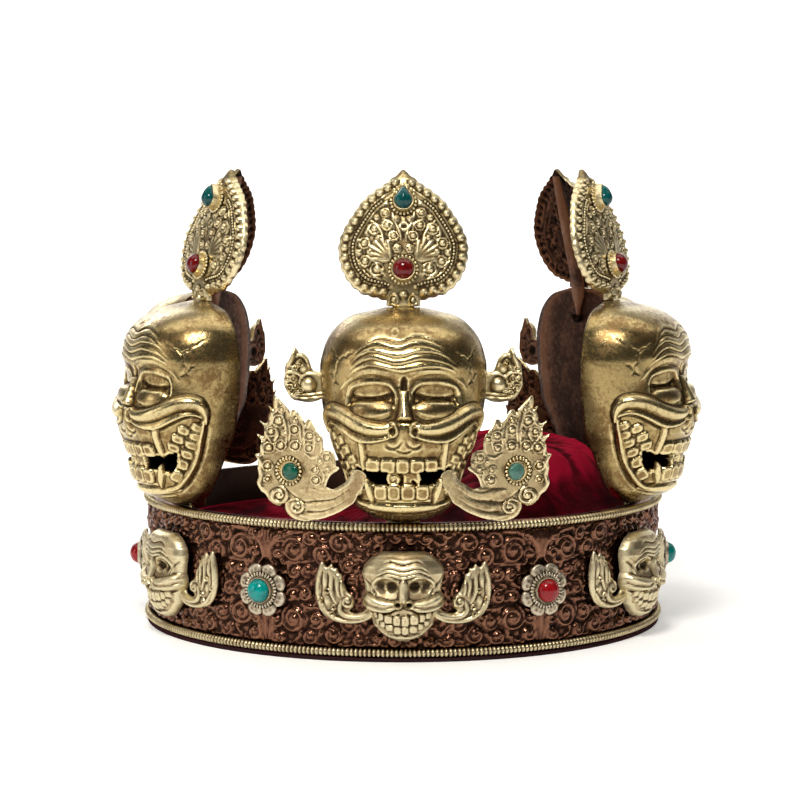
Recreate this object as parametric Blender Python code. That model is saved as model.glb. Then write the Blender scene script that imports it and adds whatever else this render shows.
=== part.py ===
"""Ritual crown of five gilt skull masks on a repousse copper band, lined with a soft velvet cap.

Metres, +Z up. The origin is the middle of the crown's ring, on the surface that it stands on, and the
front mask faces -Y. Each mask carries a leaf finial, and three of the five have two ears and two wings.
"""

import math

import bmesh
import bpy
from mathutils import Matrix, Vector
from mathutils.geometry import tessellate_polygon

MM = 0.001

# Driving sizes
CLEARANCE = 0.3 * MM
RING_STEPS = 40

BAND_RADIUS = 98.5 * MM
BAND_WALL = 1.5 * MM
BAND_HEIGHT = 48.1 * MM
RELIEF_HEIGHT = 2.0 * MM
RELIEF_ROWS = 3
RELIEF_SLOPE = 3.4 * MM
WIRE_RADIUS = 1.5 * MM
WIRE_SIDES = 5

HEM_THICKNESS = 1.5 * MM
HEM_REACH = 2.0 * MM
VELVET_THICKNESS = 1.8 * MM
CAP_RISE = 18.0 * MM
CAP_FOLDS = 11
FOLD_DEPTH = 1.6 * MM
CAP_TILT = 6.0 * MM
CAP_TILT_AZIMUTH = math.radians(130)

MASK_SETBACK = 10.5 * MM
MASK_HEIGHT = 76.0 * MM
MASK_HALF_WIDTH = 29.8 * MM
MASK_DEPTH = 30.0 * MM
MASK_TUCK = 8.0 * MM
MASK_WALL = 3.0 * MM
TANG_WIDTH = 12.0 * MM
TANG_THICKNESS = 1.1 * MM
TANG_LENGTH = 16.0 * MM
TANG_GAP = 0.5 * MM

LEAF_HEIGHT = 47.0 * MM
LEAF_HALF_WIDTH = 23.1 * MM
LEAF_THICKNESS = 1.4 * MM
LEAF_DISH = 3.2 * MM
LEAF_LEAN = math.radians(15)
NECK_WIDTH = 12.0 * MM
NECK_HEIGHT = 5.0 * MM
STRAP_WIDTH = 8.0 * MM
STRAP_THICKNESS = 1.2 * MM
STRAP_TAIL = 11.0 * MM
HOOK_RADIUS = 2.4 * MM
HOOK_WIRE = 0.9 * MM

WING_REACH = 51.2 * MM
WING_THICKNESS = 2.0 * MM
WING_BENDS = 4
EAR_REACH = 11.5 * MM
EAR_HEIGHT = 19.0 * MM
EAR_THICKNESS = 2.4 * MM
EAR_BACK_GAP = 0.5 * MM

SMALL_HEIGHT = 32.0 * MM
SMALL_HALF_WIDTH = 14.8 * MM
SMALL_DEPTH = 7.5 * MM
SMALL_TUSK_REACH = 31.5 * MM
SMALL_TUSK_THICKNESS = 2.2 * MM
SMALL_TUSK_BENDS = 2
FLOWER_RADIUS = 9.5 * MM
FLOWER_THICKNESS = 1.8 * MM
PETALS = 8
SEAT_GAP = 0.7 * MM

# Stones and their settings: stone radius, collar height, dome height
STONE_SIDES = 8
DROP_STONE = {"radius": 3.2 * MM, "collar": 3.6 * MM, "dome": 2.8 * MM}
LEAF_STONE = {"radius": 3.7 * MM, "collar": 3.0 * MM, "dome": 2.8 * MM}
WING_STONE = {"radius": 3.0 * MM, "collar": 1.8 * MM, "dome": 2.4 * MM}
FLOWER_STONE = {"radius": 3.6 * MM, "collar": 2.6 * MM, "dome": 2.6 * MM}
COLLAR_RIM = 1.6 * MM
COLLAR_LIP = 0.4 * MM
COLLAR_SINK = 1.0 * MM
DROP_POINT = 1.5

# Places worked out from the sizes
BAND_BOTTOM = HEM_THICKNESS + CLEARANCE
BAND_TOP = BAND_BOTTOM + BAND_HEIGHT
WIRE_CENTRE_RADIUS = BAND_RADIUS + CLEARANCE + WIRE_RADIUS
SEAT_RADIUS = BAND_RADIUS + RELIEF_HEIGHT + SEAT_GAP
BAND_MIDDLE = (BAND_BOTTOM + BAND_TOP) / 2
MASK_BASE = BAND_TOP + CLEARANCE
MASK_BACK_RADIUS = BAND_RADIUS - MASK_SETBACK
WING_HEIGHT = 0.597 * MASK_HEIGHT
EAR_LEVEL = 0.586 * MASK_HEIGHT
TANG_OUTER = (BAND_RADIUS - BAND_WALL) * math.cos(math.pi / RING_STEPS) - TANG_GAP
CAP_RADIUS = TANG_OUTER - TANG_THICKNESS - CLEARANCE

# The five masks, clockwise from the front seen from above, and which of them carry ears and wings
MASKS = (
    {"number": 1, "azimuth": 0.0, "winged": True},
    {"number": 2, "azimuth": 63.0, "winged": False},
    {"number": 3, "azimuth": 124.0, "winged": True},
    {"number": 4, "azimuth": 242.0, "winged": True},
    {"number": 5, "azimuth": 301.5, "winged": False},
)
BAND_MOTIFS = 6

# Mask sections from chin to crown: height, half width and depth as shares of the mask's sizes, and how far
# the back edge tucks forward as a share of MASK_TUCK
MASK_SECTIONS = (
    # height, half width, depth, tuck
    (0.000, 0.14, 0.34, 1.00),
    (0.030, 0.40, 0.56, 0.90),
    (0.090, 0.61, 0.80, 0.72),
    (0.140, 0.66, 0.85, 0.58),
    (0.185, 0.69, 0.88, 0.45),
    (0.235, 0.72, 0.90, 0.30),
    (0.300, 0.78, 0.95, 0.15),
    (0.380, 0.87, 1.02, 0.00),
    (0.460, 0.92, 1.04, 0.00),
    (0.540, 0.97, 1.00, 0.00),
    (0.620, 0.99, 0.96, 0.00),
    (0.720, 1.00, 0.96, 0.00),
    (0.800, 0.96, 0.94, 0.00),
    (0.860, 0.90, 0.87, 0.00),
    (0.915, 0.79, 0.73, 0.00),
    (0.960, 0.63, 0.50, 0.00),
    (1.000, 0.22, 0.10, 0.00),
)
# Where the mask's surface is sampled: rows by height share, columns by share of the half width
MASK_ROWS = (0.0, 0.05, 0.10, 0.13, 0.185, 0.21, 0.235, 0.29, 0.35, 0.41, 0.46, 0.51, 0.56, 0.605, 0.65,
             0.70, 0.78, 0.88, 0.95, 1.0)
MASK_COLUMNS = (0.0, 0.14, 0.30, 0.48, 0.66, 0.85, 1.0)
CAVITY_ROWS = (0.10, 0.24, 0.42, 0.60, 0.78, 0.92)
CAVITY_COLUMNS = (0.0, 0.35, 0.65, 0.88, 1.0)

# Raised and sunk features of a mask: place and radii across and up, as shares of half width and height,
# and rise as a share of the mask's depth. Each is mirrored
MASK_FEATURES = (
    # across, up, radius across, radius up, rise
    (0.38, 0.700, 0.34, 0.045, 0.050),   # brow
    (0.38, 0.600, 0.30, 0.060, -0.100),  # eye socket
    (0.38, 0.605, 0.18, 0.028, 0.075),   # closed eye
    (0.00, 0.490, 0.12, 0.070, 0.130),   # nose
    (0.25, 0.430, 0.20, 0.040, 0.110),   # cheek roll beside the nose
    (0.56, 0.480, 0.22, 0.045, 0.140),   # cheek roll
    (0.86, 0.550, 0.16, 0.045, 0.120),   # cheek roll's end
    (0.00, 0.210, 0.58, 0.022, -0.150),  # open mouth
    (0.00, 0.045, 0.45, 0.035, 0.050),   # chin
)
TEETH = (
    # bottom, top, half width as shares, and rise as a share of depth
    {"bottom": 0.225, "top": 0.325, "across": 0.60, "rise": 0.055},
    {"bottom": 0.115, "top": 0.195, "across": 0.50, "rise": 0.055},
)
TOOTH_PITCH = 0.2225
MOUTH_CUTS = (
    # inner and outer ends across, middle height, half height at the outer end, as shares
    {"inner": 0.28, "outer": 0.62, "up": 0.208, "half": 0.026},
)
MOUTH_CUT_DEPTH = 16.0 * MM

# The cap from its shoulder to its crown: radius and rise as shares, and how much of the tilt and fold it takes
CAP_SECTIONS = (
    # radius, rise, tilt, fold
    (1.000, -0.16, 0.00, 0.00),
    (0.885, 0.42, 0.35, 0.35),
    (0.700, 0.80, 0.70, 0.90),
    (0.400, 0.96, 0.40, 0.30),
    (0.100, 1.00, 0.10, 0.00),
)

LEAF_SECTIONS = (
    # height, half width as shares of the leaf's
    (0.000, 0.27),
    (0.045, 0.60),
    (0.140, 0.84),
    (0.300, 0.99),
    (0.440, 1.00),
    (0.600, 0.84),
    (0.760, 0.62),
    (0.890, 0.36),
    (1.000, 0.03),
)
LEAF_COLUMNS = (-1.0, -0.5, 0.0, 0.5, 1.0)
DROP_PLACE = 0.78
LEAF_STONE_PLACE = 0.25

WING_OUTLINE = (
    # reach and height as shares: from the mouth's corner under the tusk, round the flame, and back
    (0.262, 0.357), (0.328, 0.222), (0.449, 0.101), (0.646, 0.026), (0.754, 0.073), (0.807, 0.163),
    (0.873, 0.176), (0.939, 0.253), (0.986, 0.341), (1.000, 0.491), (0.979, 0.643), (0.947, 0.822),
    (0.873, 1.000), (0.814, 0.941), (0.775, 0.870), (0.746, 0.903), (0.678, 0.795), (0.643, 0.824),
    (0.557, 0.694), (0.563, 0.604), (0.475, 0.544), (0.447, 0.447), (0.480, 0.394), (0.527, 0.284),
    (0.441, 0.304), (0.352, 0.394), (0.301, 0.447),
)
WING_STONE_PLACE = (0.805, 0.414)
# How far the wing's outer edge stands forward of the mask's back plane, and how close its root is to the mouth
WING_EDGE_DEPTH = 1.0 * MM
WING_ROOT_GAP = 1.8 * MM
WING_ROOT_REACH = 0.26

EAR_OUTLINE = (
    # reach from the mask's side and height as shares
    (0.00, 0.06), (0.28, 0.00), (0.62, 0.02), (0.92, 0.22), (1.00, 0.50), (0.91, 0.78), (0.66, 1.00),
    (0.30, 0.80), (0.16, 0.50), (0.00, 0.34),
)

SMALL_TUSK_OUTLINE = (
    # reach and height as shares of SMALL_TUSK_REACH and SMALL_HEIGHT
    (0.33, 0.27), (0.48, 0.17), (0.70, 0.16), (0.88, 0.24), (0.98, 0.42), (1.00, 0.62), (0.93, 0.84),
    (0.84, 0.72), (0.78, 0.58), (0.66, 0.52), (0.63, 0.38), (0.72, 0.33), (0.60, 0.27), (0.45, 0.31),
    (0.33, 0.40),
)
SMALL_ROWS = (0.0, 0.10, 0.22, 0.34, 0.45, 0.54, 0.66, 0.86, 1.0)
SMALL_COLUMNS = (0.0, 0.33, 0.68, 1.0)
SMALL_BACK_COLUMNS = (0.5, 0.0, -0.5)
SMALL_SECTIONS = (
    # height, half width, depth as shares
    (0.00, 0.18, 0.35),
    (0.08, 0.50, 0.62),
    (0.18, 0.70, 0.80),
    (0.30, 0.76, 0.90),
    (0.42, 1.00, 0.98),
    (0.50, 0.98, 1.00),
    (0.62, 0.92, 0.92),
    (0.80, 0.99, 0.95),
    (0.92, 0.80, 0.78),
    (1.00, 0.42, 0.40),
)
SMALL_FEATURES = (
    # across, up, radius across, radius up, rise
    (0.30, 0.62, 0.22, 0.090, -0.32),
    (0.60, 0.44, 0.34, 0.060, 0.16),
    (0.00, 0.26, 0.45, 0.030, -0.10),
)

# Colour, metallic value and roughness of each finish
FINISHES = {
    "dark_copper": ((0.16, 0.065, 0.04, 1), 1.0, 0.45),
    "gilt_brass": ((0.62, 0.49, 0.25, 1), 1.0, 0.32),
    "pale_wire": ((0.58, 0.52, 0.36, 1), 1.0, 0.30),
    "crimson_velvet": ((0.19, 0.005, 0.02, 1), 0.0, 0.90),
    "turquoise": ((0.01, 0.32, 0.34, 1), 0.0, 0.25),
    "coral": ((0.50, 0.015, 0.015, 1), 0.0, 0.25),
    "green_stone": ((0.03, 0.22, 0.13, 1), 0.0, 0.25),
}


def clear_scene():
    for old in list(bpy.data.objects):
        bpy.data.objects.remove(old)


def finish_of(name):
    """The finish's material, made on first use."""
    material = bpy.data.materials.get(name)
    if material:
        return material
    colour, metallic, roughness = FINISHES[name]
    material = bpy.data.materials.new(name)
    material.use_nodes = True
    shader = material.node_tree.nodes["Principled BSDF"]
    shader.inputs["Base Color"].default_value = colour
    shader.inputs["Metallic"].default_value = metallic
    shader.inputs["Roughness"].default_value = roughness
    return material


def mesh_of(name, points, faces):
    mesh = bpy.data.meshes.new(name)
    mesh.from_pydata([tuple(p) for p in points], [], faces)
    tidy = bmesh.new()
    tidy.from_mesh(mesh)
    bmesh.ops.recalc_face_normals(tidy, faces=tidy.faces)
    tidy.to_mesh(mesh)
    tidy.free()
    return mesh


def place(name, mesh, finish, matrix=None, smooth=35):
    """One named object of the crown, under the crown's empty."""
    item = bpy.data.objects.new(name, mesh)
    bpy.context.scene.collection.objects.link(item)
    item.parent = bpy.data.objects["crown"]
    if matrix is not None:
        item.matrix_basis = matrix
    if not mesh.materials:
        mesh.materials.append(finish_of(finish))
        mesh.shade_smooth()
        mesh.set_sharp_from_angle(angle=math.radians(smooth))
    return item


def combined(name, base, others):
    """A mesh made from the base and (operation, mesh) pairs by exact Booleans."""
    helper = bpy.data.objects.new(name + "_base", base)
    bpy.context.scene.collection.objects.link(helper)
    tools = [helper]
    for operation, mesh in others:
        tool = bpy.data.objects.new(name + "_tool", mesh)
        bpy.context.scene.collection.objects.link(tool)
        tools.append(tool)
        modifier = helper.modifiers.new(operation.lower(), "BOOLEAN")
        modifier.operation = operation
        modifier.solver = "EXACT"
        modifier.object = tool
    bpy.context.view_layer.update()
    graph = bpy.context.evaluated_depsgraph_get()
    result = bpy.data.meshes.new_from_object(helper.evaluated_get(graph))
    result.name = name
    for tool in tools:
        bpy.data.objects.remove(tool)
    return result


def share(table, at, column):
    """A column of a section table, read smoothly between its rows."""
    if at <= table[0][0]:
        return table[0][column]
    for low, high in zip(table, table[1:]):
        if at <= high[0]:
            t = (at - low[0]) / (high[0] - low[0])
            return low[column] + t * (high[column] - low[column])
    return table[-1][column]


def ring_mesh(name, profile):
    """A closed profile of (radius, height) points turned round Z."""
    points = []
    for step in range(RING_STEPS):
        angle = 2 * math.pi * step / RING_STEPS
        points += [(radius * math.sin(angle), -radius * math.cos(angle), height) for radius, height in profile]
    count = len(profile)
    faces = []
    for step in range(RING_STEPS):
        here, there = step * count, ((step + 1) % RING_STEPS) * count
        for k in range(count):
            after = (k + 1) % count
            faces.append((here + k, there + k, there + after, here + after))
    return mesh_of(name, points, faces)


def band_mesh():
    """The copper ring: its outer face between the two wires is raised in rows of bosses."""
    field_low = BAND_BOTTOM + 2 * WIRE_RADIUS + CLEARANCE
    field_high = BAND_TOP - 2 * WIRE_RADIUS - CLEARANCE
    inner = BAND_RADIUS - BAND_WALL
    profile = [(inner, BAND_TOP), (inner, BAND_BOTTOM), (BAND_RADIUS, BAND_BOTTOM)]
    for row in range(RELIEF_ROWS + 1):
        profile.append((BAND_RADIUS, field_low + (field_high - field_low) * row / RELIEF_ROWS))
    profile.append((BAND_RADIUS, BAND_TOP))
    mesh = ring_mesh("band", profile)
    relief = bmesh.new()
    relief.from_mesh(mesh)
    cells = [
        face for face in relief.faces
        if field_low < face.calc_center_median().z < field_high
        and face.calc_center_median().to_2d().length > BAND_RADIUS - BAND_WALL / 2
    ]
    bmesh.ops.inset_individual(relief, faces=cells, thickness=RELIEF_SLOPE, depth=RELIEF_HEIGHT)
    relief.to_mesh(mesh)
    relief.free()
    return mesh


def wire_mesh(name, height):
    """A wire ring, turned in the same steps as the band so that their faces run parallel."""
    profile = []
    for side in range(WIRE_SIDES):
        turn = 2 * math.pi * side / WIRE_SIDES
        profile.append((WIRE_CENTRE_RADIUS + WIRE_RADIUS * math.cos(turn), height + WIRE_RADIUS * math.sin(turn)))
    return ring_mesh(name, profile)


def cap_mesh():
    """The velvet lining: a hem turned out under the band, a wall inside it, and a soft folded top."""
    inner = CAP_RADIUS - VELVET_THICKNESS
    hem = BAND_RADIUS + HEM_REACH
    outside = [(hem, 0.0, 0, 0), (hem, HEM_THICKNESS, 0, 0), (CAP_RADIUS, HEM_THICKNESS, 0, 0)]
    inside = []
    for radius, rise, tilt, fold in CAP_SECTIONS:
        height = BAND_TOP + rise * CAP_RISE
        outside.append((radius * CAP_RADIUS, height, tilt, fold))
        inside.insert(0, (radius * inner, height - VELVET_THICKNESS, tilt, fold))
    inside.append((inner, 0.0, 0, 0))
    points, faces = [], []
    for profile in (outside, inside):
        for step in range(RING_STEPS):
            angle = 2 * math.pi * step / RING_STEPS
            for radius, height, tilt, fold in profile:
                lift = tilt * CAP_TILT * math.cos(angle - CAP_TILT_AZIMUTH)
                lift += fold * FOLD_DEPTH * math.cos(CAP_FOLDS * angle)
                points.append((radius * math.sin(angle), -radius * math.cos(angle), height + lift))
    outer_count, inner_count = len(outside), len(inside)
    second = RING_STEPS * outer_count
    for step in range(RING_STEPS):
        after = (step + 1) % RING_STEPS
        for k in range(outer_count - 1):
            here, there = step * outer_count + k, after * outer_count + k
            faces.append((here, there, there + 1, here + 1))
        for k in range(inner_count - 1):
            here, there = second + step * inner_count + k, second + after * inner_count + k
            faces.append((here, there, there + 1, here + 1))
        foot, next_foot = second + (step + 1) * inner_count - 1, second + (after + 1) * inner_count - 1
        faces.append((foot, next_foot, after * outer_count, step * outer_count))
    faces.append(tuple(step * outer_count + outer_count - 1 for step in range(RING_STEPS)))
    faces.append(tuple(second + step * inner_count for step in range(RING_STEPS)))
    return mesh_of("velvet_cap", points, faces)


def relief_at(features, across, up):
    """The rise of a face's features at a place, as a share of its depth."""
    rise = 0.0
    for feature_across, feature_up, radius_across, radius_up, height in features:
        for side in ((1, -1) if feature_across else (1,)):
            distance = ((across - side * feature_across) / radius_across) ** 2 + ((up - feature_up) / radius_up) ** 2
            rise += height * math.exp(-distance)
    return rise


def teeth_at(across, up):
    """Teeth stand forward in two rows, with a groove between neighbours."""
    for row in TEETH:
        if row["bottom"] <= up <= row["top"] and abs(across) <= row["across"]:
            phase = (across / TOOTH_PITCH + 0.5) % 1.0
            return row["rise"] * (1.0 if abs(phase - 0.5) < 0.25 else -0.4)
    return 0.0


def mask_point(across, up, inset=0.0, plain=False):
    """A point of the mask, in its own frame: X to its left ear's side, -Y out of its face, Z up."""
    half = share(MASK_SECTIONS, up, 1) * MASK_HALF_WIDTH - inset
    depth = share(MASK_SECTIONS, up, 2) * MASK_DEPTH - inset
    tuck = share(MASK_SECTIONS, up, 3) * MASK_TUCK + inset
    round_out = max(0.0, 1 - abs(across) ** 2.3) ** (1 / 2.3)
    rise = 0.0 if plain else relief_at(MASK_FEATURES, across, up) + teeth_at(across, up)
    forward = tuck + (depth - tuck) * round_out + rise * MASK_DEPTH * round_out
    return Vector((across * half, -forward, up * MASK_HEIGHT))


def lofted(name, rows, columns, point_at, back_columns=(), back_at=None):
    """A shell of rows, each closed behind from its right edge to its left, through the back points if any."""
    across = [-c for c in reversed(columns[1:])] + list(columns)
    points = []
    for up in rows:
        points += [point_at(a, up) for a in across]
        points += [back_at(a, up) for a in back_columns]
    count = len(across) + len(back_columns)
    faces = []
    for row in range(len(rows) - 1):
        low, high = row * count, (row + 1) * count
        for k in range(count):
            after = (k + 1) % count
            faces.append((low + k, low + after, high + after, high + k))
    faces.append(tuple(range(count)))
    last = (len(rows) - 1) * count
    faces.append(tuple(last + k for k in reversed(range(count))))
    return mesh_of(name, points, faces)


def box_mesh(name, low, high):
    (x0, y0, z0), (x1, y1, z1) = low, high
    points = [(x0, y0, z0), (x1, y0, z0), (x1, y1, z0), (x0, y1, z0), (x0, y0, z1), (x1, y0, z1), (x1, y1, z1), (x0, y1, z1)]
    faces = [(0, 3, 2, 1), (4, 5, 6, 7), (0, 1, 5, 4), (1, 2, 6, 5), (2, 3, 7, 6), (3, 0, 4, 7)]
    return mesh_of(name, points, faces)


def mouth_cutter(cut, side):
    """A wedge that opens one corner of the mouth into the mask's hollow."""
    inner, outer = cut["inner"] * MASK_HALF_WIDTH, cut["outer"] * MASK_HALF_WIDTH
    up, half = cut["up"] * MASK_HEIGHT, cut["half"] * MASK_HEIGHT
    front, back = -1.4 * MASK_DEPTH, -1.4 * MASK_DEPTH + 1.5 * MOUTH_CUT_DEPTH
    corners = [(inner, up - 0.3 * half), (outer, up - half), (outer, up + half), (inner, up + 0.6 * half)]
    points = [(side * x, y, z) for y in (front, back) for x, z in corners]
    faces = [(0, 1, 2, 3), (7, 6, 5, 4)] + [(k, 4 + k, 4 + (k + 1) % 4, (k + 1) % 4) for k in range(4)]
    return mesh_of("mouth_corner", points, faces)


def mask_mesh():
    """One hollow mask with its back plate, its mouth corners open, and the tang that holds it to the band."""
    outer = lofted("mask_outer", MASK_ROWS, MASK_COLUMNS, mask_point)
    cavity = lofted(
        "mask_cavity", CAVITY_ROWS, CAVITY_COLUMNS, lambda a, up: mask_point(a, up, MASK_WALL, True)
    )
    tang_outer = MASK_BACK_RADIUS - TANG_OUTER
    tang = box_mesh(
        "tang",
        (-TANG_WIDTH / 2, tang_outer, -TANG_LENGTH),
        (TANG_WIDTH / 2, tang_outer + TANG_THICKNESS, 0.045 * MASK_HEIGHT),
    )
    tools = [("DIFFERENCE", cavity), ("UNION", tang)]
    for cut in MOUTH_CUTS:
        tools += [("DIFFERENCE", mouth_cutter(cut, side)) for side in (1, -1)]
    return combined("mask", outer, tools)


def collar_mesh(stone, pointed=False):
    """The setting under a stone: a short tapered post, sunk into the sheet that carries it."""
    base, top = stone["radius"] + COLLAR_RIM, stone["radius"] + COLLAR_LIP
    rings = [(base, COLLAR_SINK), (base, -0.3 * stone["collar"]), (top, -stone["collar"])]
    points = [stone_point(radius, k, y, pointed) for radius, y in rings for k in range(STONE_SIDES)]
    faces = [tuple(reversed(range(STONE_SIDES)))]
    for level in range(len(rings) - 1):
        for k in range(STONE_SIDES):
            after = (k + 1) % STONE_SIDES
            low, high = level * STONE_SIDES, (level + 1) * STONE_SIDES
            faces.append((low + k, low + after, high + after, high + k))
    faces.append(tuple((len(rings) - 1) * STONE_SIDES + k for k in range(STONE_SIDES)))
    return mesh_of("collar", points, faces)


def stone_point(radius, k, y, pointed):
    """A point round a stone's outline, which is drawn out upwards to a point on a drop."""
    turn = 2 * math.pi * k / STONE_SIDES + math.pi / 2
    stretch = DROP_POINT if pointed and k == 0 else 1.0
    return (radius * math.cos(turn), y, radius * math.sin(turn) * stretch)


def stone_mesh(name, stone, pointed=False):
    """A domed stone with a flat back, just clear of its setting's top."""
    seat = -stone["collar"] - CLEARANCE
    rings = [
        (stone["radius"], seat),
        (0.95 * stone["radius"], seat - 0.40 * stone["dome"]),
        (0.55 * stone["radius"], seat - 0.88 * stone["dome"]),
    ]
    points = [stone_point(radius, k, y, pointed) for radius, y in rings for k in range(STONE_SIDES)]
    faces = [tuple(reversed(range(STONE_SIDES)))]
    for level in range(len(rings) - 1):
        for k in range(STONE_SIDES):
            after = (k + 1) % STONE_SIDES
            low, high = level * STONE_SIDES, (level + 1) * STONE_SIDES
            faces.append((low + k, low + after, high + after, high + k))
    tip = len(points)
    points.append((0.0, seat - stone["dome"], 0.0))
    last = (len(rings) - 1) * STONE_SIDES
    faces += [(last + k, last + (k + 1) % STONE_SIDES, tip) for k in range(STONE_SIDES)]
    return mesh_of(name, points, faces)


def leaf_depth(across, up):
    """The leaf is dished: its middle stands forward of its rim, most of all at its widest."""
    return -LEAF_DISH * (1 - across**2) * math.sin(math.pi * min(1.0, 0.12 + 0.88 * up)) ** 0.7


def leaf_mesh():
    """The finial: a dished leaf on a short neck, two stone settings, and the strap soldered up its back."""
    points, faces = [], []
    count = len(LEAF_COLUMNS)
    for back in (0.0, LEAF_THICKNESS):
        for up, half in LEAF_SECTIONS:
            for across in LEAF_COLUMNS:
                points.append((across * half * LEAF_HALF_WIDTH, leaf_depth(across, up) + back, up * LEAF_HEIGHT))
    rows = len(LEAF_SECTIONS)
    second = rows * count
    for row in range(rows - 1):
        for k in range(count - 1):
            low, high = row * count + k, (row + 1) * count + k
            faces.append((low, low + 1, high + 1, high))
            faces.append((second + low, second + high, second + high + 1, second + low + 1))
        for k in (0, count - 1):
            low, high = row * count + k, (row + 1) * count + k
            faces.append((low, high, second + high, second + low))
    for row in (0, rows - 1):
        for k in range(count - 1):
            low = row * count + k
            faces.append((low, low + 1, second + low + 1, second + low))
    leaf = mesh_of("leaf_sheet", points, faces)
    drop, round_setting = collar_mesh(DROP_STONE, True), collar_mesh(LEAF_STONE)
    drop.transform(stone_matrix(DROP_PLACE))
    round_setting.transform(stone_matrix(LEAF_STONE_PLACE))
    leaned = combined("leaf_set", leaf, [("UNION", drop), ("UNION", round_setting)])
    leaned.transform(leaf_matrix())
    neck = box_mesh(
        "neck",
        (-NECK_WIDTH / 2, -LEAF_DISH, MASK_HEIGHT + CLEARANCE),
        (NECK_WIDTH / 2, LEAF_THICKNESS, MASK_HEIGHT + NECK_HEIGHT + 0.07 * LEAF_HEIGHT),
    )
    return combined("leaf", leaned, [("UNION", neck), ("UNION", strap_mesh()), ("UNION", hook_mesh())])


def leaf_matrix():
    """From the leaf's own frame to the mask's: above the neck, leaning back over the crown."""
    foot = Vector((0, 0, MASK_HEIGHT + NECK_HEIGHT))
    return Matrix.Translation(foot) @ Matrix.Rotation(-LEAF_LEAN, 4, "X")


def stone_matrix(up):
    """A place on the leaf's middle line, where a stone's setting stands square to the sheet."""
    return Matrix.Translation((0, leaf_depth(0, up), up * LEAF_HEIGHT))


def strap_mesh():
    """A flat bar up the back of the mask, the neck and the leaf, almost to its tip."""
    low = MASK_HEIGHT - STRAP_TAIL
    knee = MASK_HEIGHT + NECK_HEIGHT
    tip = leaf_matrix() @ Vector((0, 0.6 * LEAF_THICKNESS, 0.93 * LEAF_HEIGHT))
    near = CLEARANCE
    line = [(near, low), (near, knee), (tip.y, tip.z)]
    points = []
    for k, (y, z) in enumerate(line):
        half = STRAP_WIDTH / 2 if k < 2 else 0.25 * STRAP_WIDTH
        for x in (-half, half):
            points.append((x, y, z))
            points.append((x, y + STRAP_THICKNESS, z))
    faces = [(0, 1, 3, 2), (8, 10, 11, 9)]
    for level in (0, 4):
        for a, b in ((0, 2), (2, 3), (3, 1), (1, 0)):
            faces.append((level + a, level + b, level + 4 + b, level + 4 + a))
    return mesh_of("strap", points, faces)


def hook_mesh():
    """The strap's foot is drawn out to a small round hook."""
    points, faces = [], []
    turns, sides = 5, 4
    centre_x = STRAP_WIDTH / 2 - HOOK_WIRE - HOOK_RADIUS
    centre_z = MASK_HEIGHT - STRAP_TAIL + 0.2 * HOOK_WIRE
    centre_y = CLEARANCE + HOOK_WIRE
    for step in range(turns + 1):
        turn = math.pi * step / turns
        out = Vector((math.cos(turn), 0, -math.sin(turn)))
        centre = Vector((centre_x, centre_y, centre_z)) + out * HOOK_RADIUS
        for side in range(sides):
            around = 2 * math.pi * side / sides
            points.append(centre + out * HOOK_WIRE * math.cos(around) + Vector((0, HOOK_WIRE * math.sin(around), 0)))
    for step in range(turns):
        for side in range(sides):
            after = (side + 1) % sides
            low, high = step * sides, (step + 1) * sides
            faces.append((low + side, low + after, high + after, high + side))
    faces += [tuple(range(sides)), tuple(turns * sides + side for side in range(sides))]
    return mesh_of("hook", points, faces)


def plate_mesh(name, outline, thickness, depth_of, bends=0):
    """A plate cut to an outline of (x, z) points, then bent forward by depth_of(x) along upright lines."""
    flat = [Vector((x, z, 0)) for x, z in outline]
    triangles = tessellate_polygon([flat])
    count = len(outline)
    points = [(x, -thickness, z) for x, z in outline] + [(x, 0.0, z) for x, z in outline]
    faces = [tuple(t) for t in triangles]
    faces += [tuple(count + k for k in reversed(t)) for t in triangles]
    faces += [(k, (k + 1) % count, count + (k + 1) % count, count + k) for k in range(count)]
    mesh = mesh_of(name, points, faces)
    low, high = min(x for x, _ in outline), max(x for x, _ in outline)
    bent = bmesh.new()
    bent.from_mesh(mesh)
    for k in range(1, bends + 1):
        at = low + (high - low) * k / (bends + 1)
        bmesh.ops.bisect_plane(bent, geom=bent.verts[:] + bent.edges[:] + bent.faces[:], plane_co=(at, 0, 0), plane_no=(1, 0, 0))
    for vertex in bent.verts:
        vertex.co.y -= depth_of(vertex.co.x)
    bent.to_mesh(mesh)
    bent.free()
    return mesh


def wing_root_depth():
    """The mask's depth where the tusk leaves its mouth, and the gap before it."""
    depths = []
    for x, z in (WING_OUTLINE[0], WING_OUTLINE[-1]):
        up = z * WING_HEIGHT / MASK_HEIGHT
        across = x * WING_REACH / (share(MASK_SECTIONS, up, 1) * MASK_HALF_WIDTH)
        depths.append(-mask_point(across, up, plain=True).y)
    return max(depths) + WING_ROOT_GAP


def wing_depth(x):
    """The tusk leaves the mouth well forward, and the flame curves back along the band."""
    out = min(1.0, max(0.0, (abs(x) / WING_REACH - WING_ROOT_REACH) / (1 - WING_ROOT_REACH)))
    return WING_EDGE_DEPTH + (wing_root_depth() - WING_EDGE_DEPTH) * (1 - out) ** 1.6


def wing_mesh(side):
    outline = [(side * x * WING_REACH, z * WING_HEIGHT) for x, z in WING_OUTLINE]
    plate = plate_mesh("wing_plate", outline, WING_THICKNESS, wing_depth, WING_BENDS)
    setting = collar_mesh(WING_STONE)
    setting.transform(wing_stone_matrix(side))
    return combined(f"wing_{side}", plate, [("UNION", setting)])


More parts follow.
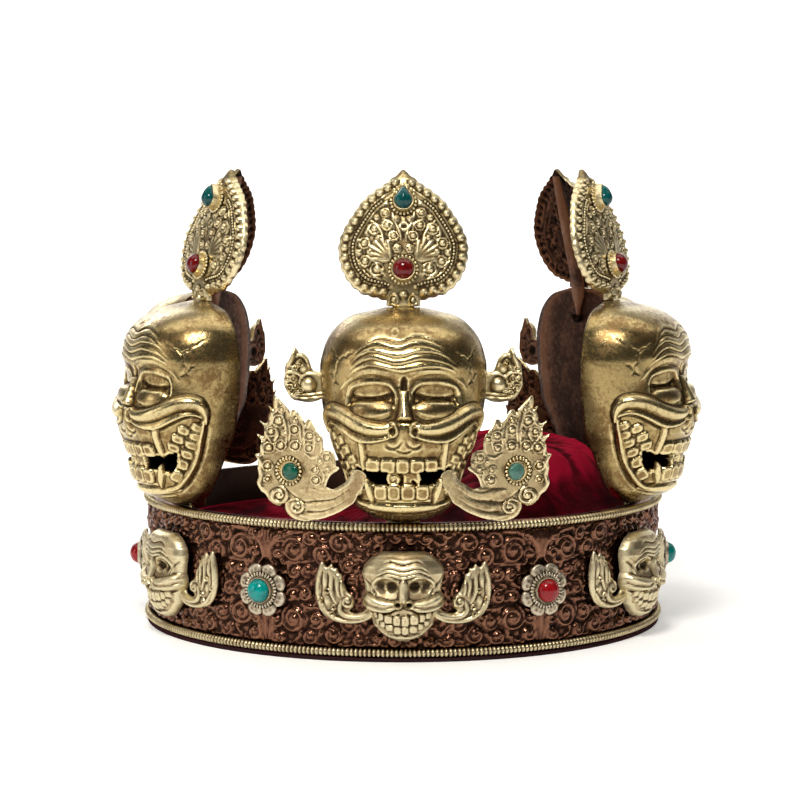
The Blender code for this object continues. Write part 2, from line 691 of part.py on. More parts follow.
def wing_stone_matrix(side):
    """A stone stands on the front of the flame, turned out with it."""
    x, z = side * WING_STONE_PLACE[0] * WING_REACH, WING_STONE_PLACE[1] * WING_HEIGHT
    step = 0.02 * WING_REACH
    slope = (wing_depth(x + step) - wing_depth(x - step)) / (2 * step)
    turn = Matrix.Rotation(-math.atan(slope), 4, "Z")
    return Matrix.Translation((x, -wing_depth(x) - WING_THICKNESS, z)) @ turn


def ear_mesh(side):
    start = MASK_HALF_WIDTH + CLEARANCE
    outline = [(side * (start + x * EAR_REACH), EAR_LEVEL + z * EAR_HEIGHT) for x, z in EAR_OUTLINE]
    return plate_mesh(f"ear_{side}", outline, EAR_THICKNESS, lambda x: EAR_BACK_GAP)


def small_point(across, up):
    """A point of a small mask, laid round the band: across is along the band."""
    half = share(SMALL_SECTIONS, up, 1) * SMALL_HALF_WIDTH
    depth = share(SMALL_SECTIONS, up, 2) * SMALL_DEPTH
    round_out = max(0.0, 1 - abs(across) ** 2.2) ** (1 / 2.2)
    forward = (depth + relief_at(SMALL_FEATURES, across, up) * SMALL_DEPTH) * round_out
    return on_band(across * half, forward, (up - 0.5) * SMALL_HEIGHT)


def on_band(along, forward, up):
    """From places along the band's face, out of it and up from its middle, to the crown's frame at azimuth 0."""
    angle = along / SEAT_RADIUS
    radius = SEAT_RADIUS + forward
    return Vector((radius * math.sin(angle), -radius * math.cos(angle), BAND_MIDDLE + up))


def small_back(across, up):
    """The small mask's back follows the band."""
    return on_band(across * share(SMALL_SECTIONS, up, 1) * SMALL_HALF_WIDTH, 0.0, (up - 0.5) * SMALL_HEIGHT)


def small_mask_mesh():
    """A small mask whose tusks curl into a flame on either side, all one casting."""
    face = lofted("small_face", SMALL_ROWS, SMALL_COLUMNS, small_point, SMALL_BACK_COLUMNS, small_back)
    tools = []
    for side in (1, -1):
        outline = [(side * x * SMALL_TUSK_REACH, (z - 0.5) * SMALL_HEIGHT) for x, z in SMALL_TUSK_OUTLINE]
        tusk = plate_mesh("small_tusk", outline, SMALL_TUSK_THICKNESS, lambda x: 0.0, SMALL_TUSK_BENDS)
        for vertex in tusk.vertices:
            vertex.co = on_band(vertex.co.x, -vertex.co.y, vertex.co.z)
        tools.append(("UNION", tusk))
    return combined("band_skull", face, tools)


def flower_mesh():
    """An eight-petalled flower with a stone's setting at its heart, flat behind."""
    points, faces = [], []
    steps = 2 * PETALS
    for forward, scale in ((0.0, 1.0), (FLOWER_THICKNESS, 0.94)):
        for k in range(steps):
            turn = 2 * math.pi * k / steps
            radius = FLOWER_RADIUS * scale * (1.0 if k % 2 == 0 else 0.80)
            points.append((radius * math.sin(turn), -SEAT_RADIUS - forward, BAND_MIDDLE + radius * math.cos(turn)))
    faces.append(tuple(range(steps)))
    faces.append(tuple(steps + k for k in reversed(range(steps))))
    faces += [(k, (k + 1) % steps, steps + (k + 1) % steps, steps + k) for k in range(steps)]
    petals = mesh_of("petals", points, faces)
    setting = collar_mesh(FLOWER_STONE)
    setting.transform(flower_stone_matrix())
    return combined("band_flower", petals, [("UNION", setting)])


def flower_stone_matrix():
    return Matrix.Translation((0, -SEAT_RADIUS - FLOWER_THICKNESS, BAND_MIDDLE))


def turned(azimuth):
    return Matrix.Rotation(math.radians(azimuth), 4, "Z")


def add_masks():
    mask, leaf = mask_mesh(), leaf_mesh()
    drop = stone_mesh("drop_stone", DROP_STONE, True)
    cabochon = stone_mesh("leaf_stone", LEAF_STONE)
    wing_stone = stone_mesh("wing_stone", WING_STONE)
    sides = {"left": -1, "right": 1}
    wings = {name: wing_mesh(side) for name, side in sides.items()}
    ears = {name: ear_mesh(side) for name, side in sides.items()}
    for row in MASKS:
        number = row["number"]
        stand = turned(row["azimuth"]) @ Matrix.Translation((0, -MASK_BACK_RADIUS, MASK_BASE))
        place(f"skull_{number}", mask, "gilt_brass", stand)
        place(f"leaf_{number}", leaf, "gilt_brass", stand)
        place(f"leaf_drop_{number}", drop, "turquoise", stand @ leaf_matrix() @ stone_matrix(DROP_PLACE))
        place(f"leaf_cabochon_{number}", cabochon, "coral", stand @ leaf_matrix() @ stone_matrix(LEAF_STONE_PLACE))
        if not row["winged"]:
            continue
        for name, side in sides.items():
            place(f"wing_{number}_{name}", wings[name], "gilt_brass", stand)
            place(f"ear_{number}_{name}", ears[name], "gilt_brass", stand)
            place(f"wing_stone_{number}_{name}", wing_stone, "green_stone", stand @ wing_stone_matrix(side))


def add_band():
    place("band", band_mesh(), "dark_copper")
    place("rim_wire_top", wire_mesh("rim_wire_top", BAND_TOP - WIRE_RADIUS), "pale_wire")
    place("rim_wire_bottom", wire_mesh("rim_wire_bottom", BAND_BOTTOM + WIRE_RADIUS), "pale_wire")
    place("velvet_cap", cap_mesh(), "crimson_velvet", smooth=60)
    small, flower = small_mask_mesh(), flower_mesh()
    stones = {
        finish: stone_mesh(f"flower_stone_{finish}", FLOWER_STONE) for finish in ("coral", "turquoise")
    }
    pitch = 360 / BAND_MOTIFS
    for k in range(BAND_MOTIFS):
        place(f"band_skull_{k + 1}", small, "gilt_brass", turned(k * pitch))
        between = turned((k + 0.5) * pitch)
        place(f"band_flower_{k + 1}", flower, "gilt_brass", between)
        finish = "coral" if k % 2 == 0 else "turquoise"
        place(f"flower_stone_{k + 1}", stones[finish], finish, between @ flower_stone_matrix())


def main():
    clear_scene()
    crown = bpy.data.objects.new("crown", None)
    bpy.context.scene.collection.objects.link(crown)
    add_band()
    add_masks()


main()
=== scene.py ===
import math

import bpy
import numpy as np
from mathutils import Matrix, Vector
from mathutils.geometry import delaunay_2d_cdt


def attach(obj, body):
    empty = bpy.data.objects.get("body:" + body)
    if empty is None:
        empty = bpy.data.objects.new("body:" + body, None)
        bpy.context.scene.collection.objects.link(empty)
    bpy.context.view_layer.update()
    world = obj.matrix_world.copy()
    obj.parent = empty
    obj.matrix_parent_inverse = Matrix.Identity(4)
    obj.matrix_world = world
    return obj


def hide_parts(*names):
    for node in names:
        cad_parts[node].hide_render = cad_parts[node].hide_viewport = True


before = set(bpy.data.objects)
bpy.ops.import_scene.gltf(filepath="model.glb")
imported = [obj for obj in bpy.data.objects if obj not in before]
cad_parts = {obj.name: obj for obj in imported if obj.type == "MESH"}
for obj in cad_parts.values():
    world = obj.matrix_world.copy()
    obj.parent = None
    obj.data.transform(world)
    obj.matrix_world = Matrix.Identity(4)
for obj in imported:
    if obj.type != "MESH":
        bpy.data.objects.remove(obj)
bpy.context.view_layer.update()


# The band: one ring of sheet copper, beaten up from behind into scrolls, bosses and leaves, and left
# brown in its hollows, which are also painted darker as shade. It is soldered to the wires at its two rims
# and carries everything else.
# Sizes are in millimetres throughout.
BAND_RADIUS, BAND_WALL = 98.5, 1.5
BAND_BOTTOM, BAND_TOP, BAND_MIDDLE = 1.8, 49.9, 25.85
# The field of scrolls, between the plain edges that the wires cover
FIELD_LOW, FIELD_HIGH = 4.7, 47.0
BAND_COLUMNS, BAND_ROWS = 972, 78
# A panel runs from a small mask's middle to a flower's, and every second one is mirrored
PANEL = BAND_RADIUS * math.pi / 6
PANEL_HALF_HEIGHT, PANEL_MARGIN, PANEL_GRAIN = 22.5, 1.5, 0.3
LEAF_ROWS, LEAF_COLUMNS = 22, 26
# Scrolls of a panel: place along it and up, radius, turns, where the tail starts in degrees, and which way
# the scroll winds
BAND_SCROLLS = (
    (40.3, 13.2, 4.9, 2.3, 20, 1), (46.6, 11.6, 2.5, 1.4, 200, -1), (33.2, 17.2, 3.3, 1.7, 160, -1),
    (29.0, 11.6, 3.6, 1.9, -60, 1), (22.6, 16.2, 4.0, 2.0, 190, -1), (15.6, 19.2, 2.2, 1.2, 0, 1),
    (8.2, 19.0, 2.3, 1.3, 180, 1), (2.4, 18.9, 2.0, 1.1, 0, -1), (20.6, 8.6, 2.7, 1.5, 90, -1),
    (35.0, 5.4, 2.3, 1.3, 250, 1), (40.0, 5.0, 2.4, 1.4, -30, -1), (35.4, -2.6, 2.9, 1.6, 60, 1),
    (40.6, -3.2, 2.6, 1.4, 120, -1), (40.2, -11.4, 4.9, 2.3, 60, -1), (47.2, -12.4, 2.3, 1.3, 180, 1),
    (46.4, -18.2, 2.7, 1.5, 30, -1), (34.2, -17.8, 2.9, 1.6, 150, 1), (31.0, -11.6, 3.2, 1.7, -40, -1),
    (25.4, -16.6, 3.5, 1.8, 100, 1), (18.8, -12.6, 2.9, 1.6, 10, -1), (15.8, -18.4, 2.7, 1.5, 170, 1),
    (9.6, -18.6, 2.5, 1.4, 20, -1), (3.4, -18.9, 2.1, 1.2, 160, 1), (19.0, -1.4, 2.6, 1.4, 45, 1),
    (19.2, 3.6, 2.2, 1.3, 220, -1),
)
BAND_STEMS = (
    ((30.4, 20.6), (36.5, 20.2), (42.0, 19.6), (46.0, 17.4)),
    ((26.0, 20.8), (18.6, 20.9), (11.6, 20.6)),
    ((45.6, 7.6), (42.6, 8.4), (37.4, 8.9), (33.0, 9.0)),
    ((44.8, -6.6), (43.8, -1.0), (44.0, 4.0)),
    ((31.6, -7.4), (34.6, -7.0), (37.0, -6.4)),
    ((28.4, -20.4), (33.0, -21.0), (40.4, -20.8)),
    ((36.4, -14.4), (35.0, -10.6), (35.6, -7.4)),
    ((21.6, -20.6), (12.4, -21.0), (5.6, -21.0)),
    ((26.6, 8.4), (24.2, 10.8), (24.4, 12.2)),
    ((22.4, -9.2), (26.4, -11.6), (27.6, -13.0)),
)
rng = np.random.default_rng(11)


def smooth_line(points, steps=7):
    """A smooth line through the given places."""
    p = np.asarray(points, float)
    p = np.vstack([2 * p[0] - p[1], p, 2 * p[-1] - p[-2]])
    t = np.linspace(0, 1, steps, endpoint=False)[:, None]
    spans = []
    for a, b, c, d in zip(p, p[1:], p[2:], p[3:]):
        curve = (2 * a - 5 * b + 4 * c - d) * t**2 + (3 * b - a - 3 * c + d) * t**3
        spans.append(0.5 * (2 * b + (c - a) * t + curve))
    return np.vstack(spans + [p[-2:-1]])


def eased(value, low, high):
    """0 below low and 1 above high, with a soft step between them."""
    t = np.clip((value - low) / (high - low), 0, 1)
    return t * t * (3 - 2 * t)


def narrowed(along, ends):
    """The share of its full width that a stroke has along it, where its ends narrow to the given shares."""
    start = ends[0] + (1 - ends[0]) * np.sin(np.clip(along / 0.4, 0, 1) * math.pi / 2)
    finish = ends[1] + (1 - ends[1]) * np.sin(np.clip((1 - along) / 0.4, 0, 1) * math.pi / 2)
    return np.minimum(start, finish)


class Chasing:
    """The height of chased sheet metal over places across (x) and up (z) it, all in millimetres."""

    def __init__(self, x, z):
        self.x, self.z = x, z
        self.height = np.zeros(x.shape)

    def around(self, line, reach):
        """The places within reach of a line: which they are, how far off it, how far along it from 0 to 1,
        and whether they lie on its left."""
        line = np.asarray(line, float)
        low, high = line.min(0) - reach, line.max(0) + reach
        near = (self.x > low[0]) & (self.x < high[0]) & (self.z > low[1]) & (self.z < high[1])
        which = np.nonzero(near)[0]
        x, z = self.x[which], self.z[which]
        off, along, left = np.full(x.shape, 1e9), np.zeros(x.shape), np.zeros(x.shape, bool)
        lengths = np.hypot(*np.diff(line, axis=0).T)
        total, start = lengths.sum(), 0.0
        for (ax, az), (bx, bz), length in zip(line, line[1:], lengths):
            t = np.clip(((x - ax) * (bx - ax) + (z - az) * (bz - az)) / max(length**2, 1e-9), 0, 1)
            away = np.hypot(x - ax - t * (bx - ax), z - az - t * (bz - az))
            better = away < off
            off[better] = away[better]
            along[better] = ((start + t * length) / total)[better]
            left[better] = ((bx - ax) * (z - az) > (bz - az) * (x - ax))[better]
            start += length
        return which, off, along, left

    def off_edge(self, edge):
        """How far every place lies from a closed edge."""
        return self.around(np.vstack([edge, edge[:1]]), 100)[1]

    def raise_to(self, which, height, over):
        """Raises places at least to a height where over is set, and else adds the height to theirs."""
        if over:
            self.height[which] = np.maximum(self.height[which], height)
        else:
            self.height[which] += height

    def stroke(
        self, points, width, height, ends=(0.3, 0.3), crease=0.0, over=True, straight=False, power=0.5
    ):
        """A rounded stroke that narrows to a share of its width at each end, with a crease down its back."""
        line = np.asarray(points, float) if straight else smooth_line(points)
        which, off, along, _ = self.around(line, width / 2)
        swell = narrowed(along, ends)
        half = width / 2 * swell
        inside = off < half
        which, off, half, swell = which[inside], off[inside], half[inside], swell[inside]
        rise = height * swell**0.5 * (1 - (off / half) ** 2) ** power
        rise *= 1 - crease * np.exp(-((off / (0.3 * half)) ** 2))
        self.raise_to(which, rise, over)

    def lap(self, points, width, height, ends, over=True):
        """A fold on a line's left that laps over its right: steep at the line, then easing down."""
        which, off, along, left = self.around(smooth_line(points), width)
        swell = narrowed(along, ends)
        t = off / (width * swell)
        inside = left & (t < 1)
        which, t, swell = which[inside], t[inside], swell[inside]
        crest = 0.16
        falling = 0.5 + 0.5 * np.cos((t - crest) / (1 - crest) * math.pi)
        rise = np.where(t < crest, np.sin(t / crest * math.pi / 2), falling)
        self.raise_to(which, height * swell**0.5 * rise, over)

    def groove(self, points, width, depth, ends=(0.2, 0.2), straight=False):
        """A cut line, deepest at its middle."""
        line = np.asarray(points, float) if straight else smooth_line(points)
        which, off, along, _ = self.around(line, 1.6 * width)
        swell = np.minimum(ends[0] + along * 5, ends[1] + (1 - along) * 5).clip(0, 1)
        self.height[which] -= depth * swell * np.exp(-((off / (0.5 * width)) ** 2))

    def dome(self, x, z, radius, height, up=None, over=True, power=0.5):
        """A round or oval boss."""
        up = up or radius
        which = np.nonzero((np.abs(self.x - x) < radius) & (np.abs(self.z - z) < up))[0]
        q = ((self.x[which] - x) / radius) ** 2 + ((self.z[which] - z) / up) ** 2
        self.raise_to(which[q < 1], height * (1 - q[q < 1]) ** power, over)

    def swell(self, x, z, radius, up, height):
        """A soft rise or, with a height below 0, a soft hollow."""
        q = ((self.x - x) / radius) ** 2 + ((self.z - z) / up) ** 2
        self.height += height * np.exp(-q)

    def ring(self, x, z, radius, width, height, over=True):
        """A raised ring."""
        off = np.abs(np.hypot(self.x - x, self.z - z) - radius)
        which = np.nonzero(off < width / 2)[0]
        self.raise_to(which, height * np.sqrt(1 - (off[which] / (width / 2)) ** 2), over)

    def scroll(self, x, z, radius, turns, start, hand, height):
        """A wire-like scroll that winds in to a boss."""
        t = np.linspace(0, 1, int(14 * turns) + 6)
        angle = math.radians(start) + hand * 2 * math.pi * turns * t
        r = radius * (1 - 0.76 * t)
        line = np.stack([x + r * np.cos(angle), z + r * np.sin(angle)], 1)
        width = 0.76 * radius / turns * 1.05
        self.stroke(line, width, height, (0.5, 0.9), straight=True, power=0.75)
        self.dome(x, z, 0.30 * radius, 1.25 * height)

    def tooth(self, x, z, half, up, height, turn=0.0):
        """A squarish tooth with a nearly flat face and rounded edges; turn tilts it, in degrees."""
        c, s = math.cos(math.radians(turn)), math.sin(math.radians(turn))
        across, tall = (self.x - x) * c + (self.z - z) * s, (self.z - z) * c - (self.x - x) * s
        q = np.abs(across / half) ** 3.6 + np.abs(tall / up) ** 3.6
        which = np.nonzero(q < 1)[0]
        self.height[which] = np.maximum(self.height[which], height * (1 - q[which] ** 3) ** 0.5)

    def plateau(self, x, z, half, up, height, edge):
        """A flat raised field with eased edges."""
        inside = np.minimum(half - np.abs(self.x - x), up - np.abs(self.z - z))
        which = np.nonzero(inside > 0)[0]
        self.height[which] = np.maximum(self.height[which], height * eased(inside[which], 0.0, edge))


def solid_mesh(name, points, *face_groups):
    """A mesh from points in millimetres and arrays of faces with the same number of corners."""
    mesh = bpy.data.meshes.new(name)
    sizes = np.concatenate([np.full(len(g), g.shape[1]) for g in face_groups])
    corners = np.concatenate([np.asarray(g).ravel() for g in face_groups])
    mesh.vertices.add(len(points))
    mesh.vertices.foreach_set("co", (np.asarray(points, float) * 0.001).ravel())
    mesh.loops.add(len(corners))
    mesh.loops.foreach_set("vertex_index", corners.astype(np.int32))
    mesh.polygons.add(len(sizes))
    mesh.polygons.foreach_set("loop_start", np.concatenate([[0], np.cumsum(sizes)[:-1]]).astype(np.int32))
    mesh.update(calc_edges=True)
    mesh.shade_smooth()
    return mesh


def add_hollows(mesh, rounds, spread, sunk=None):
    """Marks each point's place in the relief: 0 on a ridge, 0.5 on a flat, 1 in a hollow. Each is set
    against its neighbours, smoothed so many rounds, and spread is the depth of a full hollow."""
    count = len(mesh.vertices)
    place, ends = np.empty(count * 3, np.float32), np.empty(len(mesh.edges) * 2, np.int32)
    normal = np.empty(count * 3, np.float32)
    mesh.vertices.foreach_get("co", place)
    mesh.edges.foreach_get("vertices", ends)
    mesh.vertex_normals.foreach_get("vector", normal)
    place, normal = place.reshape(-1, 3) * 1000.0, normal.reshape(-1, 3)
    a, b = ends.reshape(-1, 2).T
    share = np.maximum(1, np.bincount(a, minlength=count) + np.bincount(b, minlength=count))
    soft = place.T.astype(float)
    for _ in range(rounds):
        soft = np.stack(
            [np.bincount(a, row[b], count) + np.bincount(b, row[a], count) for row in soft]
        ) / share
    value = np.clip(0.5 + 0.5 * ((soft.T - place) * normal).sum(1) / spread, 0, 1)
    if sunk is not None:
        value = np.maximum(value, sunk)
    mesh.attributes.new("hollow", "FLOAT", "POINT").data.foreach_set("value", value.astype(np.float32))


def crown_piece(name, mesh, materials, nodes, matrix=None):
    """One piece of the crown, which rides on its only body and stands for its solids."""
    piece = bpy.data.objects.new(name, mesh)
    bpy.context.scene.collection.objects.link(piece)
    if not mesh.materials:
        for material in materials:
            mesh.materials.append(material)
    if matrix is not None:
        piece.matrix_world = matrix
    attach(piece, "root")
    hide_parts(*nodes)
    return piece


def group_nodes(name, inputs, outputs):
    """An empty shader node group with named sockets."""
    group = bpy.data.node_groups.new(name, "ShaderNodeTree")
    for socket, kind, value in inputs:
        made = group.interface.new_socket(socket, in_out="INPUT", socket_type=kind)
        made.default_value = value
    for socket, kind in outputs:
        group.interface.new_socket(socket, in_out="OUTPUT", socket_type=kind)
    return group, group.nodes.new("NodeGroupInput"), group.nodes.new("NodeGroupOutput")


def node(tree, kind, links=(), **settings):
    """A node with its settings by name and its links as (input, socket)."""
    made = tree.nodes.new(kind)
    for key, value in settings.items():
        setattr(made, key, value)
    for socket, source in links:
        tree.links.new(source, made.inputs[socket])
    return made


def noise(tree, vector, scale, detail, roughness=0.55, distortion=0.0):
    """Soft noise, 0 to 1; scale, a number or a socket, is in blotches a millimetre where the vector is in
    millimetres."""
    made = node(tree, "ShaderNodeTexNoise", [("Vector", vector)])
    if isinstance(scale, bpy.types.NodeSocket):
        tree.links.new(scale, made.inputs["Scale"])
    else:
        made.inputs["Scale"].default_value = scale
    made.inputs["Detail"].default_value = detail
    made.inputs["Roughness"].default_value = roughness
    made.inputs["Distortion"].default_value = distortion
    return made.outputs["Fac"]


def math_node(tree, operation, a, b=None, c=None):
    """A sum on up to three values, each a number or a socket."""
    made = tree.nodes.new("ShaderNodeMath")
    made.operation = operation
    for k, value in enumerate((a, b, c)):
        if value is None:
            continue
        if isinstance(value, (int, float)):
            made.inputs[k].default_value = value
        else:
            tree.links.new(value, made.inputs[k])
    return made.outputs[0]


def ranged(tree, value, low, high, to_low=0.0, to_high=1.0):
    """A value read between two others, with soft ends."""
    made = node(tree, "ShaderNodeMapRange", [("Value", value)], interpolation_type="SMOOTHSTEP")
    for key, number in (("From Min", low), ("From Max", high), ("To Min", to_low), ("To Max", to_high)):
        made.inputs[key].default_value = number
    return made.outputs["Result"]


def mixed(tree, share, a, b):
    """Colour a with a share of colour b laid over it, each a value or a socket."""
    made = node(tree, "ShaderNodeMix", data_type="RGBA")
    for key, value in ((0, share), (6, a), (7, b)):
        if isinstance(value, bpy.types.NodeSocket):
            tree.links.new(value, made.inputs[key])
        else:
            made.inputs[key].default_value = value
    return made.outputs[2]


def in_millimetres(tree):
    """The piece's own coordinates, in millimetres."""
    place = tree.nodes.new("ShaderNodeTexCoord").outputs["Object"]
    made = node(tree, "ShaderNodeVectorMath", [(0, place)], operation="SCALE")
    made.inputs["Scale"].default_value = 1000.0
    return made.outputs[0]


# Metal that has aged, blotched and finely pitted, with light and shade painted into its colour by its
# relief:
# ridges are lighter, partly worn bright where hands rub it and partly a painted highlight, and hollows
# darker, partly dirt and partly painted shade. The hollow value goes past 1 on inner walls and the floors of
# holes, which are painted darker still, as shade
aged_metal, given, result = group_nodes(
    "aged metal",
    [
        ("Bright", "NodeSocketColor", (0.8, 0.7, 0.45, 1)),
        ("Body", "NodeSocketColor", (0.6, 0.5, 0.3, 1)),
        ("Tarnish", "NodeSocketColor", (0.35, 0.24, 0.12, 1)),
        ("Dirt And Shade", "NodeSocketColor", (0.06, 0.035, 0.02, 1)),
        ("Tarnished", "NodeSocketFloat", 0.5),
        ("Polish", "NodeSocketFloat", 0.25),
    ],
    [("Color", "NodeSocketColor"), ("Roughness", "NodeSocketFloat"), ("Height", "NodeSocketFloat")],
)
place = in_millimetres(aged_metal)
hollow = node(aged_metal, "ShaderNodeAttribute", attribute_name="hollow").outputs["Fac"]
blotch = noise(aged_metal, place, 0.085, 5, 0.6)
mottle = noise(aged_metal, place, 0.55, 7, 0.68, 0.4)
pits = noise(aged_metal, place, 2.6, 4, 0.6)
# Relief and mottle set where hollows darken, partly as dirt and partly as painted shade, and where ridges
# lighten, partly as wear and partly as painted highlight
worn = math_node(aged_metal, "ADD", hollow, math_node(aged_metal, "MULTIPLY_ADD", mottle, 0.30, -0.15))
dirt_and_shade_share = ranged(aged_metal, worn, 0.62, 0.98, 0.0, 0.92)
wear_and_highlight = ranged(aged_metal, worn, 0.46, 0.12)
patchy = math_node(aged_metal, "MULTIPLY_ADD", mottle, 0.45, math_node(aged_metal, "MULTIPLY", blotch, 0.55))
patchy = math_node(aged_metal, "MULTIPLY_ADD", given.outputs["Tarnished"], 0.25, patchy)
stained = ranged(aged_metal, patchy, 0.61, 0.74)
speckle = ranged(aged_metal, pits, 0.62, 0.74)
colour = mixed(aged_metal, stained, given.outputs["Body"], given.outputs["Tarnish"])
colour = mixed(aged_metal, wear_and_highlight, colour, given.outputs["Bright"])
colour = mixed(aged_metal, dirt_and_shade_share, colour, given.outputs["Dirt And Shade"])
colour = mixed(aged_metal, ranged(aged_metal, pits, 0.40, 0.62, 0.0, 0.22), colour, given.outputs["Dirt And Shade"])
colour = mixed(aged_metal, math_node(aged_metal, "MULTIPLY", speckle, 0.35), colour, given.outputs["Dirt And Shade"])
rough = math_node(aged_metal, "MULTIPLY_ADD", mottle, 0.34, given.outputs["Polish"])
rough = math_node(aged_metal, "MULTIPLY_ADD", dirt_and_shade_share, 0.30, rough)
rough = math_node(aged_metal, "MULTIPLY_ADD", stained, 0.12, rough)
# Painted shade: past a hollow value of 1.1, on inner walls and the floors of holes, the colour goes
# near-black
colour = mixed(aged_metal, ranged(aged_metal, hollow, 1.1, 1.6), colour, (0.002, 0.001, 0.001, 1))
height = math_node(aged_metal, "MULTIPLY_ADD", mottle, 0.6, math_node(aged_metal, "MULTIPLY", pits, 0.25))
for socket, source in (("Color", colour), ("Roughness", rough), ("Height", height)):
    aged_metal.links.new(source, result.inputs[socket])


def metal(name, bright, body, tarnish, dirt_and_shade, tarnished, polish, bump, hammered=None):
    """A material of aged metal. The more tarnished, the more of it is stained; polish is its roughness where
    it is smoothest, bump its fine relief in metres, hammered the spacing of hammer marks in millimetres."""
    material = bpy.data.materials.new(name)
    material.use_nodes = True
    tree = material.node_tree
    shader = tree.nodes["Principled BSDF"]
    shader.inputs["Metallic"].default_value = 1.0
    look = node(tree, "ShaderNodeGroup", node_tree=aged_metal)
    for key, value in (("Bright", bright), ("Body", body), ("Tarnish", tarnish), ("Dirt And Shade", dirt_and_shade)):
        look.inputs[key].default_value = (*value, 1)
    look.inputs["Tarnished"].default_value = tarnished
    look.inputs["Polish"].default_value = polish
    tree.links.new(look.outputs["Color"], shader.inputs["Base Color"])
    tree.links.new(look.outputs["Roughness"], shader.inputs["Roughness"])
    raised = look.outputs["Height"]
    if hammered:
        marks = node(tree, "ShaderNodeTexVoronoi", [("Vector", in_millimetres(tree))], feature="SMOOTH_F1")
        marks.inputs["Scale"].default_value = 1 / hammered
        raised = math_node(tree, "MULTIPLY_ADD", marks.outputs["Distance"], 1.6, raised)
    bumped = node(tree, "ShaderNodeBump", [("Height", raised)])
    bumped.inputs["Distance"].default_value = bump
    tree.links.new(bumped.outputs["Normal"], shader.inputs["Normal"])
    return material


def chase_panel(c):
    """A panel of the band: scrolls and their stems, a fan above the flower and a ribbed stem below it."""
    for x, z, radius, *_ in BAND_SCROLLS:
        c.dome(x, z, radius, 0.8)
    for stem in BAND_STEMS:
        c.stroke(stem, 2.0, 1.25, (0.4, 0.4), crease=0.5)
    for x, z, radius, turns, start, hand in BAND_SCROLLS:
        c.scroll(x, z, radius, 0.8 * turns, start, hand, 1.7)
        c.dome(x, z, 0.40 * radius, 2.1)
    for k in range(5):
        ray = [(PANEL - 0.35 * k, 9.6), (PANEL - 0.55 * k, 14.6), (PANEL - 1.5 * k, 20.4 - 0.5 * k)]
        c.stroke(ray, 1.7, 1.6, (0.4, 0.8))
        rib = [(PANEL - 0.9 * k, -9.6), (PANEL - 0.8 * k, -15.0), (PANEL - 1.2 * k, -20.8)]
        c.stroke(rib, 1.3, 1.4, (0.7, 0.7))
    c.scroll(PANEL - 5.6, 18.2, 2.3, 1.4, 60, 1, 1.7)
    # Small leaves fill what ground is left
    for row in range(LEAF_ROWS):
        for column in range(LEAF_COLUMNS):
            x = 2.1 * (column + 0.5 * (row % 2)) + rng.uniform(-0.4, 0.4)
            z = -21.0 + 2.0 * row + rng.uniform(-0.4, 0.4)
            close = np.hypot(c.x - x, c.z - z) < 0.8
            if not close.any() or c.height[close].max() > 0.55:
                continue
            angle = rng.uniform(0, math.pi)
            dx, dz = 1.5 * math.cos(angle), 1.5 * math.sin(angle)
            leaf = [(x - dx, z - dz), (x + 0.3 * dz, z - 0.3 * dx), (x + dx, z + dz)]
            c.stroke(leaf, 1.5, 1.15, (0.5, 0.2), 0.4)


panel_x, panel_z = np.meshgrid(
    np.arange(-PANEL_MARGIN, PANEL + PANEL_MARGIN, PANEL_GRAIN),
    np.arange(-PANEL_HALF_HEIGHT, PANEL_HALF_HEIGHT, PANEL_GRAIN),
)
panel = Chasing(panel_x.ravel(), panel_z.ravel())
chase_panel(panel)
panel_height = panel.height.reshape(panel_x.shape)


def panel_at(x, z):
    """The panel's height, read between its sampled places."""
    column = np.clip((x + PANEL_MARGIN) / PANEL_GRAIN, 0, panel_height.shape[1] - 1.001)
    row = np.clip((z + PANEL_HALF_HEIGHT) / PANEL_GRAIN, 0, panel_height.shape[0] - 1.001)
    i, j = row.astype(int), column.astype(int)
    u, v = row - i, column - j
    low = panel_height[i, j] * (1 - v) + panel_height[i, j + 1] * v
    high = panel_height[i + 1, j] * (1 - v) + panel_height[i + 1, j + 1] * v
    return low * (1 - u) + high * u


turn = np.arange(BAND_COLUMNS) * 2 * math.pi / BAND_COLUMNS
rise = np.linspace(FIELD_LOW, FIELD_HIGH, BAND_ROWS)
turns, rises = np.meshgrid(turn, rise)
# Hand work: each repeat strays a little from the pattern
stray = 0.55 * np.sin(7 * turns + 0.21 * rises) + 0.35 * np.sin(17 * turns + 1.3)
stray_up = 0.40 * np.sin(11 * turns - 0.13 * rises + 0.7) + 0.30 * np.sin(23 * turns)
along = (turns * 6 / math.pi) % 2
along = PANEL * np.where(along > 1, 2 - along, along) + stray * np.sin(math.pi * np.clip(along, 0, 2))
field = panel_at(np.clip(along, -1.4, PANEL + 1.4), rises - BAND_MIDDLE + stray_up)
field *= eased(rises, FIELD_LOW, FIELD_LOW + 0.8) * eased(-rises, -FIELD_HIGH, -FIELD_HIGH + 0.8)
# The profile runs down the band's inside, up the chased field and over the top
profile = [(BAND_RADIUS - BAND_WALL, z) for z in (BAND_TOP, 26.0, BAND_BOTTOM)]
profile += [(BAND_RADIUS, BAND_BOTTOM)]
rings = [(np.full(BAND_COLUMNS, r), np.full(BAND_COLUMNS, z)) for r, z in profile]
rings += [(BAND_RADIUS + field[k], rises[k]) for k in range(BAND_ROWS)]
rings += [(np.full(BAND_COLUMNS, BAND_RADIUS), np.full(BAND_COLUMNS, BAND_TOP))]


def ring_points(rings, turn):
    """Points of rings of (radius, height), counted from the front towards the viewer's right."""
    return np.concatenate([np.stack([r * np.sin(turn), -r * np.cos(turn), z], 1) for r, z in rings])


def ring_faces(rows, columns, closed=True):
    """Faces between rings of points; closed joins the last ring to the first."""
    last = rows if closed else rows - 1
    i, j = np.meshgrid(np.arange(last), np.arange(columns), indexing="ij")
    after = (j + 1) % columns
    up = (i + 1) % rows
    corners = [i * columns + j, i * columns + after, up * columns + after, up * columns + j]
    return np.stack(corners, -1).reshape(-1, 4)


mesh = solid_mesh("band_relief", ring_points(rings, turn), ring_faces(len(rings), BAND_COLUMNS))
